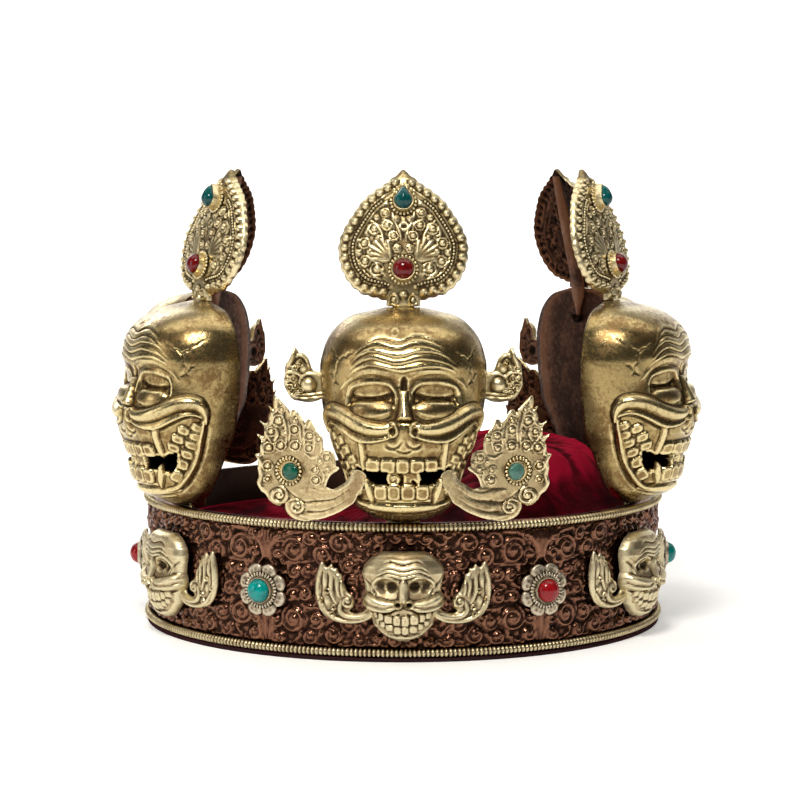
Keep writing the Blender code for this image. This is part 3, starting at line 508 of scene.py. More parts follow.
# Painted shade: the inside is painted dark, the top edge a little, and the ground between the scrolls
# darker, partly as its brown patina and partly as painted shade
INSIDE_SHADE, GROUND_SHADE, EDGE_SHADE = 1.26, 0.684, 0.54
inside = np.full(BAND_COLUMNS * len(profile), INSIDE_SHADE)
ground = GROUND_SHADE - 0.45 * eased(field.ravel(), 0.1, 0.9)
sunk = np.concatenate([inside, ground, np.full(BAND_COLUMNS, EDGE_SHADE)])
add_hollows(mesh, rounds=3, spread=0.13, sunk=sunk)
copper = metal(
    "chased copper",
    bright=(0.27, 0.130, 0.078), body=(0.175, 0.080, 0.049),
    tarnish=(0.095, 0.039, 0.028), dirt_and_shade=(0.022, 0.011, 0.008),
    tarnished=0.55, polish=0.02, bump=0.00004,
)
crown_piece("copper_band", mesh, [copper], ["band"])


# The rim wires: two lengths of brass wire filed into close beads, each bent to a ring. They are soldered
# round the band's face along its two rims.
WIRE_RADIUS, WIRE_CIRCLE = 1.5, 100.3
WIRE_BEADS, WIRE_SIDES = 390, 8
wire_metal = metal(
    "beaded wire brass",
    bright=(0.80, 0.70, 0.44), body=(0.58, 0.47, 0.27),
    tarnish=(0.30, 0.21, 0.11), dirt_and_shade=(0.022, 0.013, 0.010),
    tarnished=0.6, polish=0.20, bump=0.00005,
)
turn = np.arange(WIRE_BEADS * 4) * 2 * math.pi / (WIRE_BEADS * 4)
pulse = np.tile([0.0, 0.80, 1.0, 0.80], WIRE_BEADS)
for where, middle in (("top", BAND_TOP - WIRE_RADIUS), ("bottom", BAND_BOTTOM + WIRE_RADIUS)):
    rings = []
    for side in range(WIRE_SIDES):
        around = 2 * math.pi * side / WIRE_SIDES
        stout = WIRE_RADIUS * (0.52 + 0.48 * pulse)
        rings.append((WIRE_CIRCLE + stout * math.cos(around) * 0.92, middle + stout * math.sin(around)))
    mesh = solid_mesh(f"wire_{where}", ring_points(rings, turn), ring_faces(WIRE_SIDES, len(turn)))
    # Painted shade: the narrow gaps between the beads are set dark through the hollow value
    add_hollows(mesh, rounds=2, spread=0.12, sunk=np.tile(1.1 * (1 - pulse) ** 0.5, WIRE_SIDES))
    crown_piece(f"beaded_wire_{where}", mesh, [wire_metal], [f"rim_wire_{where}"])


# The cap: one round of crimson velvet gathered inside the band, brought out under it and sewn to a narrow
# hem. It is soft, so its top has sunk at the left and is heaped at the right, in folds from the rim.
CAP_RADIUS, HEM_RADIUS, HEM_HEIGHT, VELVET = 94.5, 100.5, 1.5, 1.6
CAP_RISE, CAP_SUNK = 19.5, 11.0
CAP_STEPS = 250
cap_turn = np.arange(CAP_STEPS) * 2 * math.pi / CAP_STEPS
cap_shares = np.concatenate([[1.0, 0.985], np.linspace(0.965, 0.05, 23)])
# The velvet's colours: deep, red and crushed are its own patchy nap; the ridge colour is a painted highlight
# on the folds' crests, the valley colour painted shade in their hollows, and hem is the hem's darker colour
VELVET_COLOURS = {
    "deep": (0.034, 0.0003, 0.0022, 1), "red": (0.13, 0.0009, 0.008, 1), "ridge": (0.30, 0.003, 0.022, 1),
    "valley": (0.018, 0.0002, 0.001, 1), "crushed": (0.15, 0.0008, 0.010, 1),
    "between threads": (0.02, 0.0, 0.001, 1), "hem": (0.030, 0.014, 0.016, 1),
}


def cap_height(share, turn):
    """The top of the cap, at shares of its radius."""
    across, back = share * np.sin(turn), -share * np.cos(turn)
    slack = eased(1 - share, 0.0, 0.30)
    heap = CAP_RISE * slack * eased(across + 0.12 * back, -0.10, 0.55)
    sunk = CAP_SUNK * eased(-across, -0.20, 0.50)
    # Folds have rounded backs and narrow valleys, and wander as they run in
    wander = 8 * turn + 1.3 * math.sin(9 * share) + 0.9 * np.sin(3 * turn + 4 * share)
    folds = 3.6 * np.abs(np.sin(wander)) ** 0.7 + 1.5 * np.abs(np.sin(2.3 * wander + 5 * share)) ** 0.8
    crumple = 1.3 * np.abs(np.sin(13 * share + 1.7 * np.sin(4 * turn) + 2 * np.sin(turn))) ** 0.8
    return BAND_TOP - 3.0 - sunk + heap + slack * share**0.5 * (folds + crumple - 2.6)


def level(radius, z):
    """A ring at one height."""
    return np.full(CAP_STEPS, radius), np.full(CAP_STEPS, z)


def cap_surface(inset):
    """Rings of the cap's outside, or of its inside when inset by the cloth's thickness."""
    if inset:
        rings = [level(CAP_RADIUS - inset, 0.05)]
    else:
        rings = [level(HEM_RADIUS, 0.05), level(HEM_RADIUS, HEM_HEIGHT - 0.15)]
        rings += [level(HEM_RADIUS - 0.4, HEM_HEIGHT), level(CAP_RADIUS, HEM_HEIGHT)]
    rings += [level(CAP_RADIUS - inset, z) for z in (8.0, 22.0)]
    for share in cap_shares:
        rings.append((np.full(CAP_STEPS, (CAP_RADIUS - inset) * share), cap_height(share, cap_turn) - inset))
    return rings


outer, inner = cap_surface(0.0), cap_surface(VELVET)
points = np.concatenate([ring_points(outer, cap_turn), ring_points(inner, cap_turn)])
first, second = len(outer) * CAP_STEPS, len(inner) * CAP_STEPS
faces = [ring_faces(len(outer), CAP_STEPS, False), first + ring_faces(len(inner), CAP_STEPS, False)[:, ::-1]]
j = np.arange(CAP_STEPS)
after = (j + 1) % CAP_STEPS
faces.append(np.stack([first + j, first + after, after, j], 1))
outer_last, inner_last = first - CAP_STEPS, first + second - CAP_STEPS
points = np.vstack([points, points[outer_last:first].mean(0), points[inner_last:first + second].mean(0)])
caps = np.concatenate([
    np.stack([outer_last + j, outer_last + after, np.full(CAP_STEPS, len(points) - 2)], 1),
    np.stack([inner_last + after, inner_last + j, np.full(CAP_STEPS, len(points) - 1)], 1),
])
mesh = solid_mesh("velvet", points, np.concatenate(faces), caps)
velvet = bpy.data.materials.new("crimson velvet")
velvet.use_nodes = True
tree = velvet.node_tree
shader = tree.nodes["Principled BSDF"]
place = in_millimetres(tree)
nap = noise(tree, place, 0.07, 4, 0.6, 0.6)
crushed = noise(tree, place, 0.35, 5, 0.6, 0.3)
pile = noise(tree, place, 6.0, 3, 0.7)
valley = node(tree, "ShaderNodeAttribute", attribute_name="hollow").outputs["Fac"]
colour = mixed(tree, ranged(tree, nap, 0.40, 0.60), VELVET_COLOURS["deep"], VELVET_COLOURS["red"])
# Painted highlight on the crests of the folds, and painted shade in their valleys
colour = mixed(tree, ranged(tree, valley, 0.42, 0.12), colour, VELVET_COLOURS["ridge"])
colour = mixed(tree, ranged(tree, valley, 0.50, 0.85), colour, VELVET_COLOURS["valley"])
colour = mixed(tree, ranged(tree, crushed, 0.50, 0.75, 0, 0.4), colour, VELVET_COLOURS["crushed"])
colour = mixed(tree, ranged(tree, pile, 0.45, 0.7, 0, 0.35), colour, VELVET_COLOURS["between threads"])
# The cloth is darker over its lowest 3 mm, the hem
low = node(tree, "ShaderNodeSeparateXYZ", [("Vector", place)]).outputs["Z"]
colour = mixed(tree, ranged(tree, low, 3.0, 1.0), colour, VELVET_COLOURS["hem"])
tree.links.new(colour, shader.inputs["Base Color"])
shader.inputs["Roughness"].default_value = 0.9
shader.inputs["Specular IOR Level"].default_value = 0.05
shader.inputs["Sheen Weight"].default_value = 0.10
shader.inputs["Sheen Roughness"].default_value = 0.35
shader.inputs["Sheen Tint"].default_value = (0.9, 0.02, 0.07, 1)
raised = math_node(tree, "MULTIPLY_ADD", pile, 0.4, crushed)
bumped = node(tree, "ShaderNodeBump", [("Height", raised)])
bumped.inputs["Distance"].default_value = 0.0006
tree.links.new(bumped.outputs["Normal"], shader.inputs["Normal"])
add_hollows(mesh, rounds=3, spread=0.9)
cap = crown_piece("velvet_lining", mesh, [velvet], ["velvet_cap"])


# The small masks: six gilt castings, each a skull face with a curled tusk on either side that ends in a
# flame. They lie round the band, held by pins from behind.
SMALL_HEIGHT, SMALL_HALF, SMALL_DEPTH = 32.0, 14.8, 7.5
# Where ornaments lie on the band
SEAT_RADIUS, ORNAMENT_MIDDLE = 101.2, BAND_MIDDLE - 1.6
SMALL_SECTIONS = np.array([
    # height, half width, depth as shares
    (0.00, 0.16, 0.30), (0.03, 0.36, 0.45), (0.08, 0.52, 0.62), (0.18, 0.72, 0.80), (0.30, 0.78, 0.90),
    (0.38, 0.92, 0.96), (0.42, 0.99, 0.98), (0.50, 0.98, 1.00), (0.56, 0.91, 0.96), (0.64, 0.93, 0.92),
    (0.76, 0.99, 0.95), (0.84, 0.95, 0.90), (0.92, 0.80, 0.78), (0.97, 0.66, 0.60), (1.00, 0.50, 0.36),
])
TUSK_OUTLINE = (
    (9.6, -3.6), (10.6, -7.2), (14.3, -9.4), (18.8, -10.1), (23.3, -9.9), (27.4, -8.4), (30.1, -5.5),
    (31.6, -1.4), (31.9, 3.1), (31.2, 7.4), (29.6, 11.8), (28.0, 10.2), (27.2, 9.8), (25.8, 11.0),
    (25.0, 9.6), (23.6, 9.4), (23.4, 8.0), (22.0, 7.2), (21.9, 5.4), (21.0, 3.4), (20.2, 1.4), (18.2, -0.2),
    (17.4, -2.2), (17.7, -4.2), (19.2, -5.6), (17.4, -6.5), (14.2, -5.7), (12.0, -3.6),
)
SMALL_TEETH = (-10.2, -8.6, -6.6, -3.6, -0.8, 2.0, 5.2, 7.4, 9.7)


def places_in(outline, pitch):
    """An outline at even steps and the places inside it on a triangular lattice."""
    closed = np.vstack([outline, outline[:1]])
    lengths = np.concatenate([[0], np.cumsum(np.hypot(*np.diff(closed, axis=0).T))])
    steps = np.arange(int(lengths[-1] / pitch)) * lengths[-1] / int(lengths[-1] / pitch)
    edge = np.stack([np.interp(steps, lengths, closed[:, k]) for k in (0, 1)], 1)
    low, high = edge.min(0), edge.max(0)
    rows = np.arange(low[1], high[1], pitch * 0.866)
    x = np.arange(low[0], high[0], pitch)
    grid = np.concatenate([
        np.stack([x + (k % 2) * pitch / 2, np.full(len(x), z)], 1) for k, z in enumerate(rows)
    ])
    ends = np.roll(edge, -1, 0)
    inside = np.zeros(len(grid), bool)
    for (ax, az), (bx, bz) in zip(edge, ends):
        if az == bz:
            continue
        crosses = (az > grid[:, 1]) != (bz > grid[:, 1])
        inside ^= crosses & (grid[:, 0] < (bx - ax) * (grid[:, 1] - az) / (bz - az) + ax)
    grid = grid[inside]
    return edge, grid[Chasing(grid[:, 0], grid[:, 1]).off_edge(edge) > 0.55 * pitch]


def cut_sheet(flat, count):
    """Triangles over places of which the first so many are the outline, all facing forward."""
    border = [(k, (k + 1) % count) for k in range(count)]
    cut = delaunay_2d_cdt([Vector(p) for p in flat], border, [list(range(count))], 1, 1e-6)
    flat = np.array([tuple(v) for v in cut[0]])
    faces = np.array([f for f in cut[2] if len(f) == 3])
    a, b, c = flat[faces[:, 0]], flat[faces[:, 1]], flat[faces[:, 2]]
    over = (b[:, 0] - a[:, 0]) * (c[:, 1] - a[:, 1]) - (b[:, 1] - a[:, 1]) * (c[:, 0] - a[:, 0]) < 0
    faces[over] = faces[over][:, ::-1]
    return flat, faces


def chased_plate(outline, pitch, chase, lay, thickness, pressed=0.0):
    """A plate cut to an outline and chased, with its points about a pitch apart; lay(x, z, forward) puts
    its places in space. Where it was pressed from behind, its back follows its front by that share, and
    else it is flat. Returns its points, its front, its back and its rim."""
    outline = np.asarray(outline, float)
    edge, inner = places_in(outline, pitch)
    count = len(edge)
    flat, front = cut_sheet(np.vstack([edge, inner]), count)
    work = Chasing(flat[:, 0], flat[:, 1])
    work.off = work.off_edge(edge)
    chase(work)
    rear_inner = places_in(outline, 2 * pitch)[1] if pressed else edge[:0]
    behind, back = cut_sheet(np.vstack([edge, rear_inner]), count)
    rear = Chasing(behind[:, 0], behind[:, 1])
    rear.off = rear.off_edge(edge)
    if pressed:
        chase(rear)
    sunk = pressed * rear.height * eased(rear.off, 0.0, 1.2)
    raised = lay(flat[:, 0], flat[:, 1], work.height + thickness)
    points = np.vstack([raised, lay(behind[:, 0], behind[:, 1], sunk)])
    k = np.arange(count)
    after = (k + 1) % count
    x, z = edge.T
    clockwise = np.sum(x * np.roll(z, -1) - np.roll(x, -1) * z) < 0
    rim = np.stack([k, len(flat) + k, len(flat) + after, after], 1)
    return points, front, back[:, ::-1] + len(flat), rim[:, ::-1] if clockwise else rim


def joined(parts):
    """Points and faces of several parts as one: each part is (points, triangles, quads)."""
    points, threes, fours, start = [], [np.zeros((0, 3), int)], [np.zeros((0, 4), int)], 0
    for part_points, triangles, quads in parts:
        points.append(np.asarray(part_points, float))
        threes.append(np.asarray(triangles, int).reshape(-1, 3) + start)
        fours.append(np.asarray(quads, int).reshape(-1, 4) + start)
        start += len(points[-1])
    return np.vstack(points), np.concatenate(threes), np.concatenate(fours)


def on_band(x, z, forward):
    """Places along the band's face, up from its ornaments' middle and out of it, at azimuth 0."""
    angle = x / SEAT_RADIUS
    radius = SEAT_RADIUS + forward
    return np.stack([radius * np.sin(angle), -radius * np.cos(angle), ORNAMENT_MIDDLE + z], 1)


def both_sides(points, side):
    """A line on the right, or mirrored to the left where side is -1."""
    return [(side * x, z) for x, z in points]


def mirrored(points, side):
    """The same, but the line runs the same way across on either side."""
    return both_sides(points, side)[::side]


def closed_outline(corners, side, steps):
    """A smooth closed outline on either side, with so many steps from corner to corner."""
    return smooth_line(both_sides(corners + corners[:1], side), steps)[:-1]


def chase_small_face(c):
    """The small mask's face, across and up from its middle."""
    up = np.clip(c.z / SMALL_HEIGHT + 0.5, 0, 1)
    half = np.interp(up, SMALL_SECTIONS[:, 0], SMALL_SECTIONS[:, 1]) * SMALL_HALF
    depth = np.interp(up, SMALL_SECTIONS[:, 0], SMALL_SECTIONS[:, 2]) * SMALL_DEPTH
    form = depth * np.clip(1 - np.clip(np.abs(c.x) / half, 0, 1) ** 2.2, 0, 1) ** (1 / 2.2)
    # Folds of the brow lap down over each other
    for low, reach in ((12.5, 7.6), (10.2, 8.6), (8.6, 9.0), (7.2, 8.4)):
        wave = [(-reach, low - 0.9), (-0.6 * reach, low + 0.5), (0, low - 0.5)]
        wave += [(0.6 * reach, low + 0.5), (reach, low - 0.9)]
        c.lap(wave, 2.2, 0.45, (0.2, 0.2), over=False)
        c.groove(wave, 0.6, 0.4)
    # Nose: a low ridge with a pit on either side of its tip
    c.stroke([(0, 6.4), (0, 2.4), (0, -0.6)], 3.4, 1.5, (0.35, 1.0), over=False, power=0.8)
    for side in (1, -1):
        # Socket: a deep round pit by the nose and a shallow crescent outside it, under one soft rim
        c.swell(side * 5.6, 3.6, 4.4, 3.0, -1.7)
        c.dome(side * 3.9, 4.0, 2.1, -1.9, over=False, power=0.8)
        c.dome(side * 7.4, 3.8, 2.0, -1.0, 2.4, over=False, power=0.8)
        rim = [(2.0, 5.6), (4.6, 7.3), (7.8, 7.1), (10.2, 5.0), (10.4, 2.2), (8.4, 0.4)]
        c.stroke(both_sides(rim, side), 1.3, 0.7, over=False)
        # Cheek roll, soft above and cut under along the moustache line
        c.lap(mirrored([(2.5, -3.7), (5.2, -5.0), (9.7, -5.0), (13.8, -3.9)], side), 4.6, 2.3, (0.5, 0.6))
        roll = [(3.4, -1.9), (6.6, -2.3), (10.2, -1.4), (13.4, 0.6)]
        c.stroke(both_sides(roll, side), 4.4, 2.0, (0.5, 0.6), power=0.9)
        moustache = [(1.6, -3.4), (2.8, -4.0), (5.2, -5.3), (9.7, -5.4), (13.8, -4.3)]
        c.groove(both_sides(moustache, side), 0.7, 0.8)
        c.ring(side * 1.9, -2.1, 1.25, 0.7, 1.9)
        c.dome(side * 1.9, -2.1, 0.85, -1.7, over=False, power=0.8)
        c.groove(both_sides([(14.8, 7.4), (11.0, 4.4), (9.6, 1.4), (7.9, -0.4)], side), 0.7, 0.6)
        c.groove(both_sides([(1.1, -5.3), (2.6, -6.3), (4.3, -6.3)], side), 0.6, 0.6)
    # Teeth: flat, set edge to edge in two rows that curve with the jaw, inside a narrow lip
    for left, right in zip(SMALL_TEETH, SMALL_TEETH[1:]):
        x, half = (left + right) / 2, (right - left) / 2 - 0.16
        bend = 0.026 * x * x
        c.tooth(x, -8.1 + bend, half, 1.95 - 0.06 * abs(x), 0.75)
        c.tooth(0.93 * x, -11.75 + 1.45 * bend, 0.93 * half, 1.45 - 0.05 * abs(x), 0.75)
    lip = [(-11.6, -6.2), (-10.9, -9.4), (-7.4, -13.0), (-4.0, -14.3)]
    lip += [(0, -14.7)] + both_sides(lip, -1)[::-1]
    c.stroke(lip, 1.5, 0.9, (0.6, 0.6))
    c.height = form + c.height * eased(c.off, 0.0, 1.4)


def chase_small_tusk(c, side):
    """The tusk and its flame beside the small mask."""
    c.height = 0.75 * np.sqrt(np.clip(c.off / 1.4, 0, 1))
    # Two smooth bands run out from the mouth and turn up, then in to a volute
    for line, width in (
        (((10.0, -5.0), (13.0, -7.2), (17.2, -8.0), (20.8, -7.4), (22.6, -5.2), (22.0, -2.2)), 2.6),
        (((11.0, -7.0), (14.6, -8.9), (19.0, -9.4), (23.2, -8.9), (26.8, -7.0), (29.0, -3.8)), 2.0),
    ):
        c.stroke(both_sides(line, side), width, 1.5, (0.9, 0.6), power=0.6)
    c.scroll(side * 19.9, -2.4, 2.3, 1.2, 60, side, 1.5)
    # The flame: a broad leaf with a rolled rim, parted by thin lines and set with small rings
    for line, width in (
        (((29.8, -3.6), (30.7, 0.6), (30.5, 5.4), (29.6, 10.2)), 1.8),
        (((24.0, -3.0), (25.6, 0.6), (25.9, 4.4), (25.4, 9.4)), 1.9),
        (((23.0, -0.6), (23.6, 3.4), (23.4, 7.2)), 1.7),
        (((21.4, -0.4), (21.9, 2.0), (21.9, 5.0)), 1.4),
    ):
        c.stroke(both_sides(line, side), width, 1.35, (0.6, 0.3), power=0.6)
    c.dome(side * 28.2, 5.0, 1.5, 1.25, 3.4)
    c.dome(side * 27.2, -2.0, 1.5, 1.25, 2.2)
    for line in (
        ((28.0, -4.4), (29.2, -0.6), (29.0, 4.0), (28.9, 9.0)),
        ((27.4, 1.4), (26.9, 4.8), (27.1, 8.4)),
    ):
        c.groove(both_sides(line, side), 0.55, 0.5)
    for bx, bz in ((25.4, -6.9), (27.0, 1.4), (24.9, -4.6), (29.8, -1.9)):
        c.ring(side * bx, bz, 0.8, 0.5, 1.7)


up = np.linspace(0, 1, 60)
half = np.interp(up, SMALL_SECTIONS[:, 0], SMALL_SECTIONS[:, 1]) * SMALL_HALF
tall = (up - 0.5) * SMALL_HEIGHT
outline = np.concatenate([np.stack([half, tall], 1), np.stack([-half, tall], 1)[::-1]])
points, front, back, rim = chased_plate(
    outline, pitch=0.42, chase=chase_small_face, lay=on_band, thickness=0.1
)
parts = [(points, np.concatenate([front, back]), rim)]
for side in (1, -1):
    outline = closed_outline(TUSK_OUTLINE, side, 4)
    points, front, back, rim = chased_plate(
        outline, pitch=0.44, chase=lambda c: chase_small_tusk(c, side), lay=on_band, thickness=0.5
    )
    parts.append((points, np.concatenate([front, back]), rim))
mesh = solid_mesh("small_mask", *joined(parts))
mesh.set_sharp_from_angle(angle=math.radians(70))
add_hollows(mesh, rounds=4, spread=0.18)
small_gilt = metal(
    "worn pale gilt",
    bright=(0.80, 0.70, 0.45), body=(0.58, 0.47, 0.28),
    tarnish=(0.36, 0.26, 0.14), dirt_and_shade=(0.050, 0.032, 0.018),
    tarnished=0.5, polish=0.22, bump=0.00006,
)
for k in range(6):
    turned = Matrix.Rotation(math.radians(60 * k), 4, "Z")
    crown_piece(f"small_mask_{k + 1}", mesh, [small_gilt], [f"band_skull_{k + 1}"], turned)


# The flowers: eight petals of silvered sheet with rolled lips, a ring of beads and a collar that is turned
# over the stone. They sit between the small masks, pinned through the band.
FLOWER_RADIUS, FLOWER_SHEET, FLOWER_STEPS = 9.8, 1.2, 160
FLOWER_STONE = {"radius": 4.2, "collar": 1.7, "dome": 3.4}
STONE_SIDES = 28


def chase_flower(c):
    """Eight petals round a flat seat for the stone."""
    angle = np.arctan2(c.z, c.x) % (math.pi / 4) - math.pi / 8
    r = np.hypot(c.x, c.z)
    across = np.clip(np.abs(angle) * 8 / math.pi, 0, 1)
    petal = (1 - across**2.4) ** 0.6 * np.sqrt(np.clip((FLOWER_RADIUS + 0.3 - r) / 2.6, 0, 1))
    # Each petal has a rolled lip round a soft hollow with a faint rib
    hollow = 0.5 * np.exp(-(((r - 7.7) / 0.85) ** 2) - (across / 0.6) ** 4)
    hollow *= 1 - 0.6 * np.exp(-((across / 0.2) ** 2))
    c.height = (1.6 * petal - hollow) * eased(r, 5.6, 6.4) + 0.5 * eased(-r, -6.4, -5.6)


def revolved(profile, sides, place):
    """A turned shape: profile is (radius, forward) from its foot, and place puts it in space."""
    turn = np.arange(sides) * 2 * math.pi / sides
    rings = [(r * np.cos(turn), r * np.sin(turn), np.full(sides, f)) for r, f in profile]
    points = np.concatenate([place(*ring) for ring in rings])
    faces = ring_faces(len(profile), sides, False)
    tip = place(np.zeros(1), np.zeros(1), np.array([profile[-1][1]]))
    last = (len(profile) - 1) * sides
    j = np.arange(sides)
    fan = np.stack([last + j, last + (j + 1) % sides, np.full(sides, len(points))], 1)
    return np.vstack([points, tip]), fan, faces


# A bead has two poles and three rings of six points between them
BEAD = [(0, 0, 1), (0, 0, -1)]
for b in (0.75, 0.0, -0.75):
    for a in np.arange(6) * math.pi / 3:
        BEAD.append((math.cos(a) * math.cos(b), math.sin(a) * math.cos(b), math.sin(b)))
BEAD = np.array(BEAD)
BEAD_FACES = [(0, 2 + k, 2 + (k + 1) % 6) for k in range(6)]
BEAD_FACES += [(1, 14 + (k + 1) % 6, 14 + k) for k in range(6)]
BEAD_QUADS = [
    (ring + k, ring + 6 + k, ring + 6 + (k + 1) % 6, ring + (k + 1) % 6) for ring in (2, 8) for k in range(6)
]


def bead_row(centres, radius, across=None, stretch=1.0):
    """Small beads at the given places in space; they can be stretched across their row like rope."""
    beads = []
    for k, centre in enumerate(centres):
        shape = radius * BEAD
        if across is not None:
            out = across[k] / np.linalg.norm(across[k])
            shape = shape + (stretch - 1) * (shape @ out)[:, None] * out
        beads.append((centre + shape, BEAD_FACES, BEAD_QUADS))
    return beads


def beaded_ring(radius, bead, forward, place, drop=None, stretch=1.0):
    """A ring of beads round a setting; drop draws its top out to a point."""
    count = int(2 * math.pi * radius / (2.3 * bead / stretch))
    turn = np.arange(count) * 2 * math.pi / count
    x, z = radius * np.cos(turn), radius * np.sin(turn)
    if drop:
        z = np.where(z > 0, z * (1 + (drop - 1) * np.sin(np.clip(turn, 0, math.pi)) ** 3), z)
    centres = place(x, z, np.full(count, forward))
    across = centres - place(np.zeros(1), np.zeros(1), np.full(1, forward))
    return bead_row(centres, bead / stretch, across, stretch**2)


def dirt_and_shade_by_beads(points, beads):
    """1 at the points of a plate close to a bead, darkened partly as dirt and partly as painted shade
    between the parts, and 0 elsewhere.
    """
    centres = np.array([bead[0].mean(0) for bead in beads])
    # In twenty lots, to spare memory
    lots = np.array_split(points, 20)
    away = np.concatenate([np.linalg.norm(lot[:, None] - centres, axis=2).min(1) for lot in lots])
    return eased(-away, -1.5, -1.0)


def stone_collar(stone, place, drop=None):
    """A thin wall turned over the stone's foot."""
    r, tall = stone["radius"], stone["collar"]
    shape = [(r + 0.6, -0.4), (r + 0.6, 0.5 * tall), (r + 0.55, 0.9 * tall)]
    shape += [(r + 0.4, tall + 0.4), (r + 0.15, tall + 0.4), (r - 0.2, tall)]
    return revolved(shape, STONE_SIDES, drawn_out(place, drop))


def drawn_out(place, drop):
    """The same place, with the upper half of the shape drawn out to a point."""
    if not drop:
        return place

    def pulled(x, z, forward):
        r = np.maximum(np.hypot(x, z), 1e-6)
        high = np.clip(z / r, 0, 1)
        return place(x * (1 - 0.28 * high**2), z * (1 + (drop - 1) * high**4), forward)
    return pulled


def stone_dome(stone, place, drop=None):
    """A stone with a domed top, and a flat foot inside its collar."""
    r, seat, dome = stone["radius"], stone["collar"] + 0.3, stone["dome"]
    shape = [(r * math.cos(a), seat - 0.25 + (dome + 0.25) * math.sin(a)) for a in np.linspace(0, 1.45, 8)]
    return revolved([(0.01, seat - 0.25)] + shape, STONE_SIDES, drawn_out(place, drop))


def on_flower(x, z, forward):
    """Places on the flower's face."""
    return on_band(x, z, forward + FLOWER_SHEET)


turn = np.arange(FLOWER_STEPS) * 2 * math.pi / FLOWER_STEPS
reach = FLOWER_RADIUS * (0.80 + 0.20 * np.abs(np.cos(4 * (turn - math.pi / 8))) ** 0.6)
outline = np.stack([reach * np.cos(turn), reach * np.sin(turn)], 1)
points, front, back, rim = chased_plate(outline, pitch=0.46, chase=chase_flower, lay=on_band, thickness=0.4)
parts = [(points, np.concatenate([front, back]), rim), stone_collar(FLOWER_STONE, on_flower)]
beads = beaded_ring(radius=5.85, bead=0.68, forward=0.8, place=on_flower, stretch=1.4)
mesh = solid_mesh("flower", *joined(parts + beads))
mesh.set_sharp_from_angle(angle=math.radians(70))
sunk = np.zeros(len(mesh.vertices))
sunk[:len(points)] = dirt_and_shade_by_beads(points, beads)
add_hollows(mesh, rounds=4, spread=0.18, sunk=sunk)
silvered = metal(
    "silvered flower",
    bright=(0.66, 0.58, 0.44), body=(0.38, 0.31, 0.22),
    tarnish=(0.22, 0.15, 0.10), dirt_and_shade=(0.030, 0.020, 0.013),
    tarnished=0.6, polish=0.25, bump=0.00006,
)


# Opaque stone with darker clouds and a few pale veins; both scales are in blotches a millimetre
clouded_stone, given, result = group_nodes(
    "clouded stone",
    [
        ("Colour", "NodeSocketColor", (0.0, 0.30, 0.27, 1)),
        ("Deep", "NodeSocketColor", (0.0, 0.17, 0.17, 1)),
        ("Pale", "NodeSocketColor", (0.06, 0.42, 0.37, 1)),
        ("Cloud Scale", "NodeSocketFloat", 0.30),
        ("Vein Scale", "NodeSocketFloat", 0.51),
    ],
    [("Color", "NodeSocketColor"), ("Roughness", "NodeSocketFloat"), ("Height", "NodeSocketFloat")],
)
place = in_millimetres(clouded_stone)
cloud = noise(clouded_stone, place, given.outputs["Cloud Scale"], 5, 0.6, 0.5)
vein = noise(clouded_stone, place, given.outputs["Vein Scale"], 6, 0.7, 1.2)
clouded = ranged(clouded_stone, cloud, 0.32, 0.66)
veined = ranged(clouded_stone, vein, 0.60, 0.75, 0, 0.5)
shade = mixed(clouded_stone, clouded, given.outputs["Deep"], given.outputs["Colour"])
shade = mixed(clouded_stone, veined, shade, given.outputs["Pale"])
rough = ranged(clouded_stone, vein, 0.3, 0.8, 0.10, 0.26)
for socket, source in (("Color", shade), ("Roughness", rough), ("Height", cloud)):
    clouded_stone.links.new(source, result.inputs[socket])


def stone_material(name, colour, deep, pale, scale):
    """A polished stone; scale is in clouds a millimetre, and its veins are finer."""
    material = bpy.data.materials.new(name)
    material.use_nodes = True
    tree = material.node_tree
    shader = tree.nodes["Principled BSDF"]
    look = node(tree, "ShaderNodeGroup", node_tree=clouded_stone)
    for key, value in (("Colour", colour), ("Deep", deep), ("Pale", pale)):
        look.inputs[key].default_value = (*value, 1)
    look.inputs["Cloud Scale"].default_value = scale
    look.inputs["Vein Scale"].default_value = 1.7 * scale
    tree.links.new(look.outputs["Color"], shader.inputs["Base Color"])
    tree.links.new(look.outputs["Roughness"], shader.inputs["Roughness"])
    shader.inputs["Specular IOR Level"].default_value = 0.3
    shader.inputs["Coat Weight"].default_value = 0.2
    shader.inputs["Coat Roughness"].default_value = 0.05
    bumped = node(tree, "ShaderNodeBump", [("Height", look.outputs["Height"])])
    bumped.inputs["Distance"].default_value = 0.00008
    tree.links.new(bumped.outputs["Normal"], shader.inputs["Normal"])
    return material


turquoise = stone_material(
    "turquoise",
    colour=(0.0, 0.30, 0.27), deep=(0.0, 0.17, 0.17), pale=(0.06, 0.42, 0.37), scale=0.30,
)
coral = stone_material(
    "coral",
    colour=(0.36, 0.006, 0.010), deep=(0.19, 0.002, 0.005), pale=(0.55, 0.05, 0.04), scale=0.35,
)
for k in range(6):
    between = Matrix.Rotation(math.radians(60 * k + 30), 4, "Z")
    crown_piece(f"flower_{k + 1}", mesh, [silvered], [f"band_flower_{k + 1}"], between)
    finish, slot = (coral, "coral") if k % 2 == 0 else (turquoise, "turquoise")
    stone = solid_mesh(f"{slot}_round", *joined([stone_dome(FLOWER_STONE, on_flower)]))
    crown_piece(f"flower_round_stone_{k + 1}", stone, [finish], [f"flower_stone_{k + 1}"], between)


# The five masks: hollow castings of gilt brass, chased with a laughing skull face, each closed behind by a
# hammered copper plate. A tang soldered to the back goes down inside the band and holds the mask on its rim.
MASK_HEIGHT, MASK_HALF, MASK_DEPTH, MASK_TUCK = 76.0, 29.8, 30.0, 8.0
MASK_BASE, MASK_BACK = 50.2, 88.0
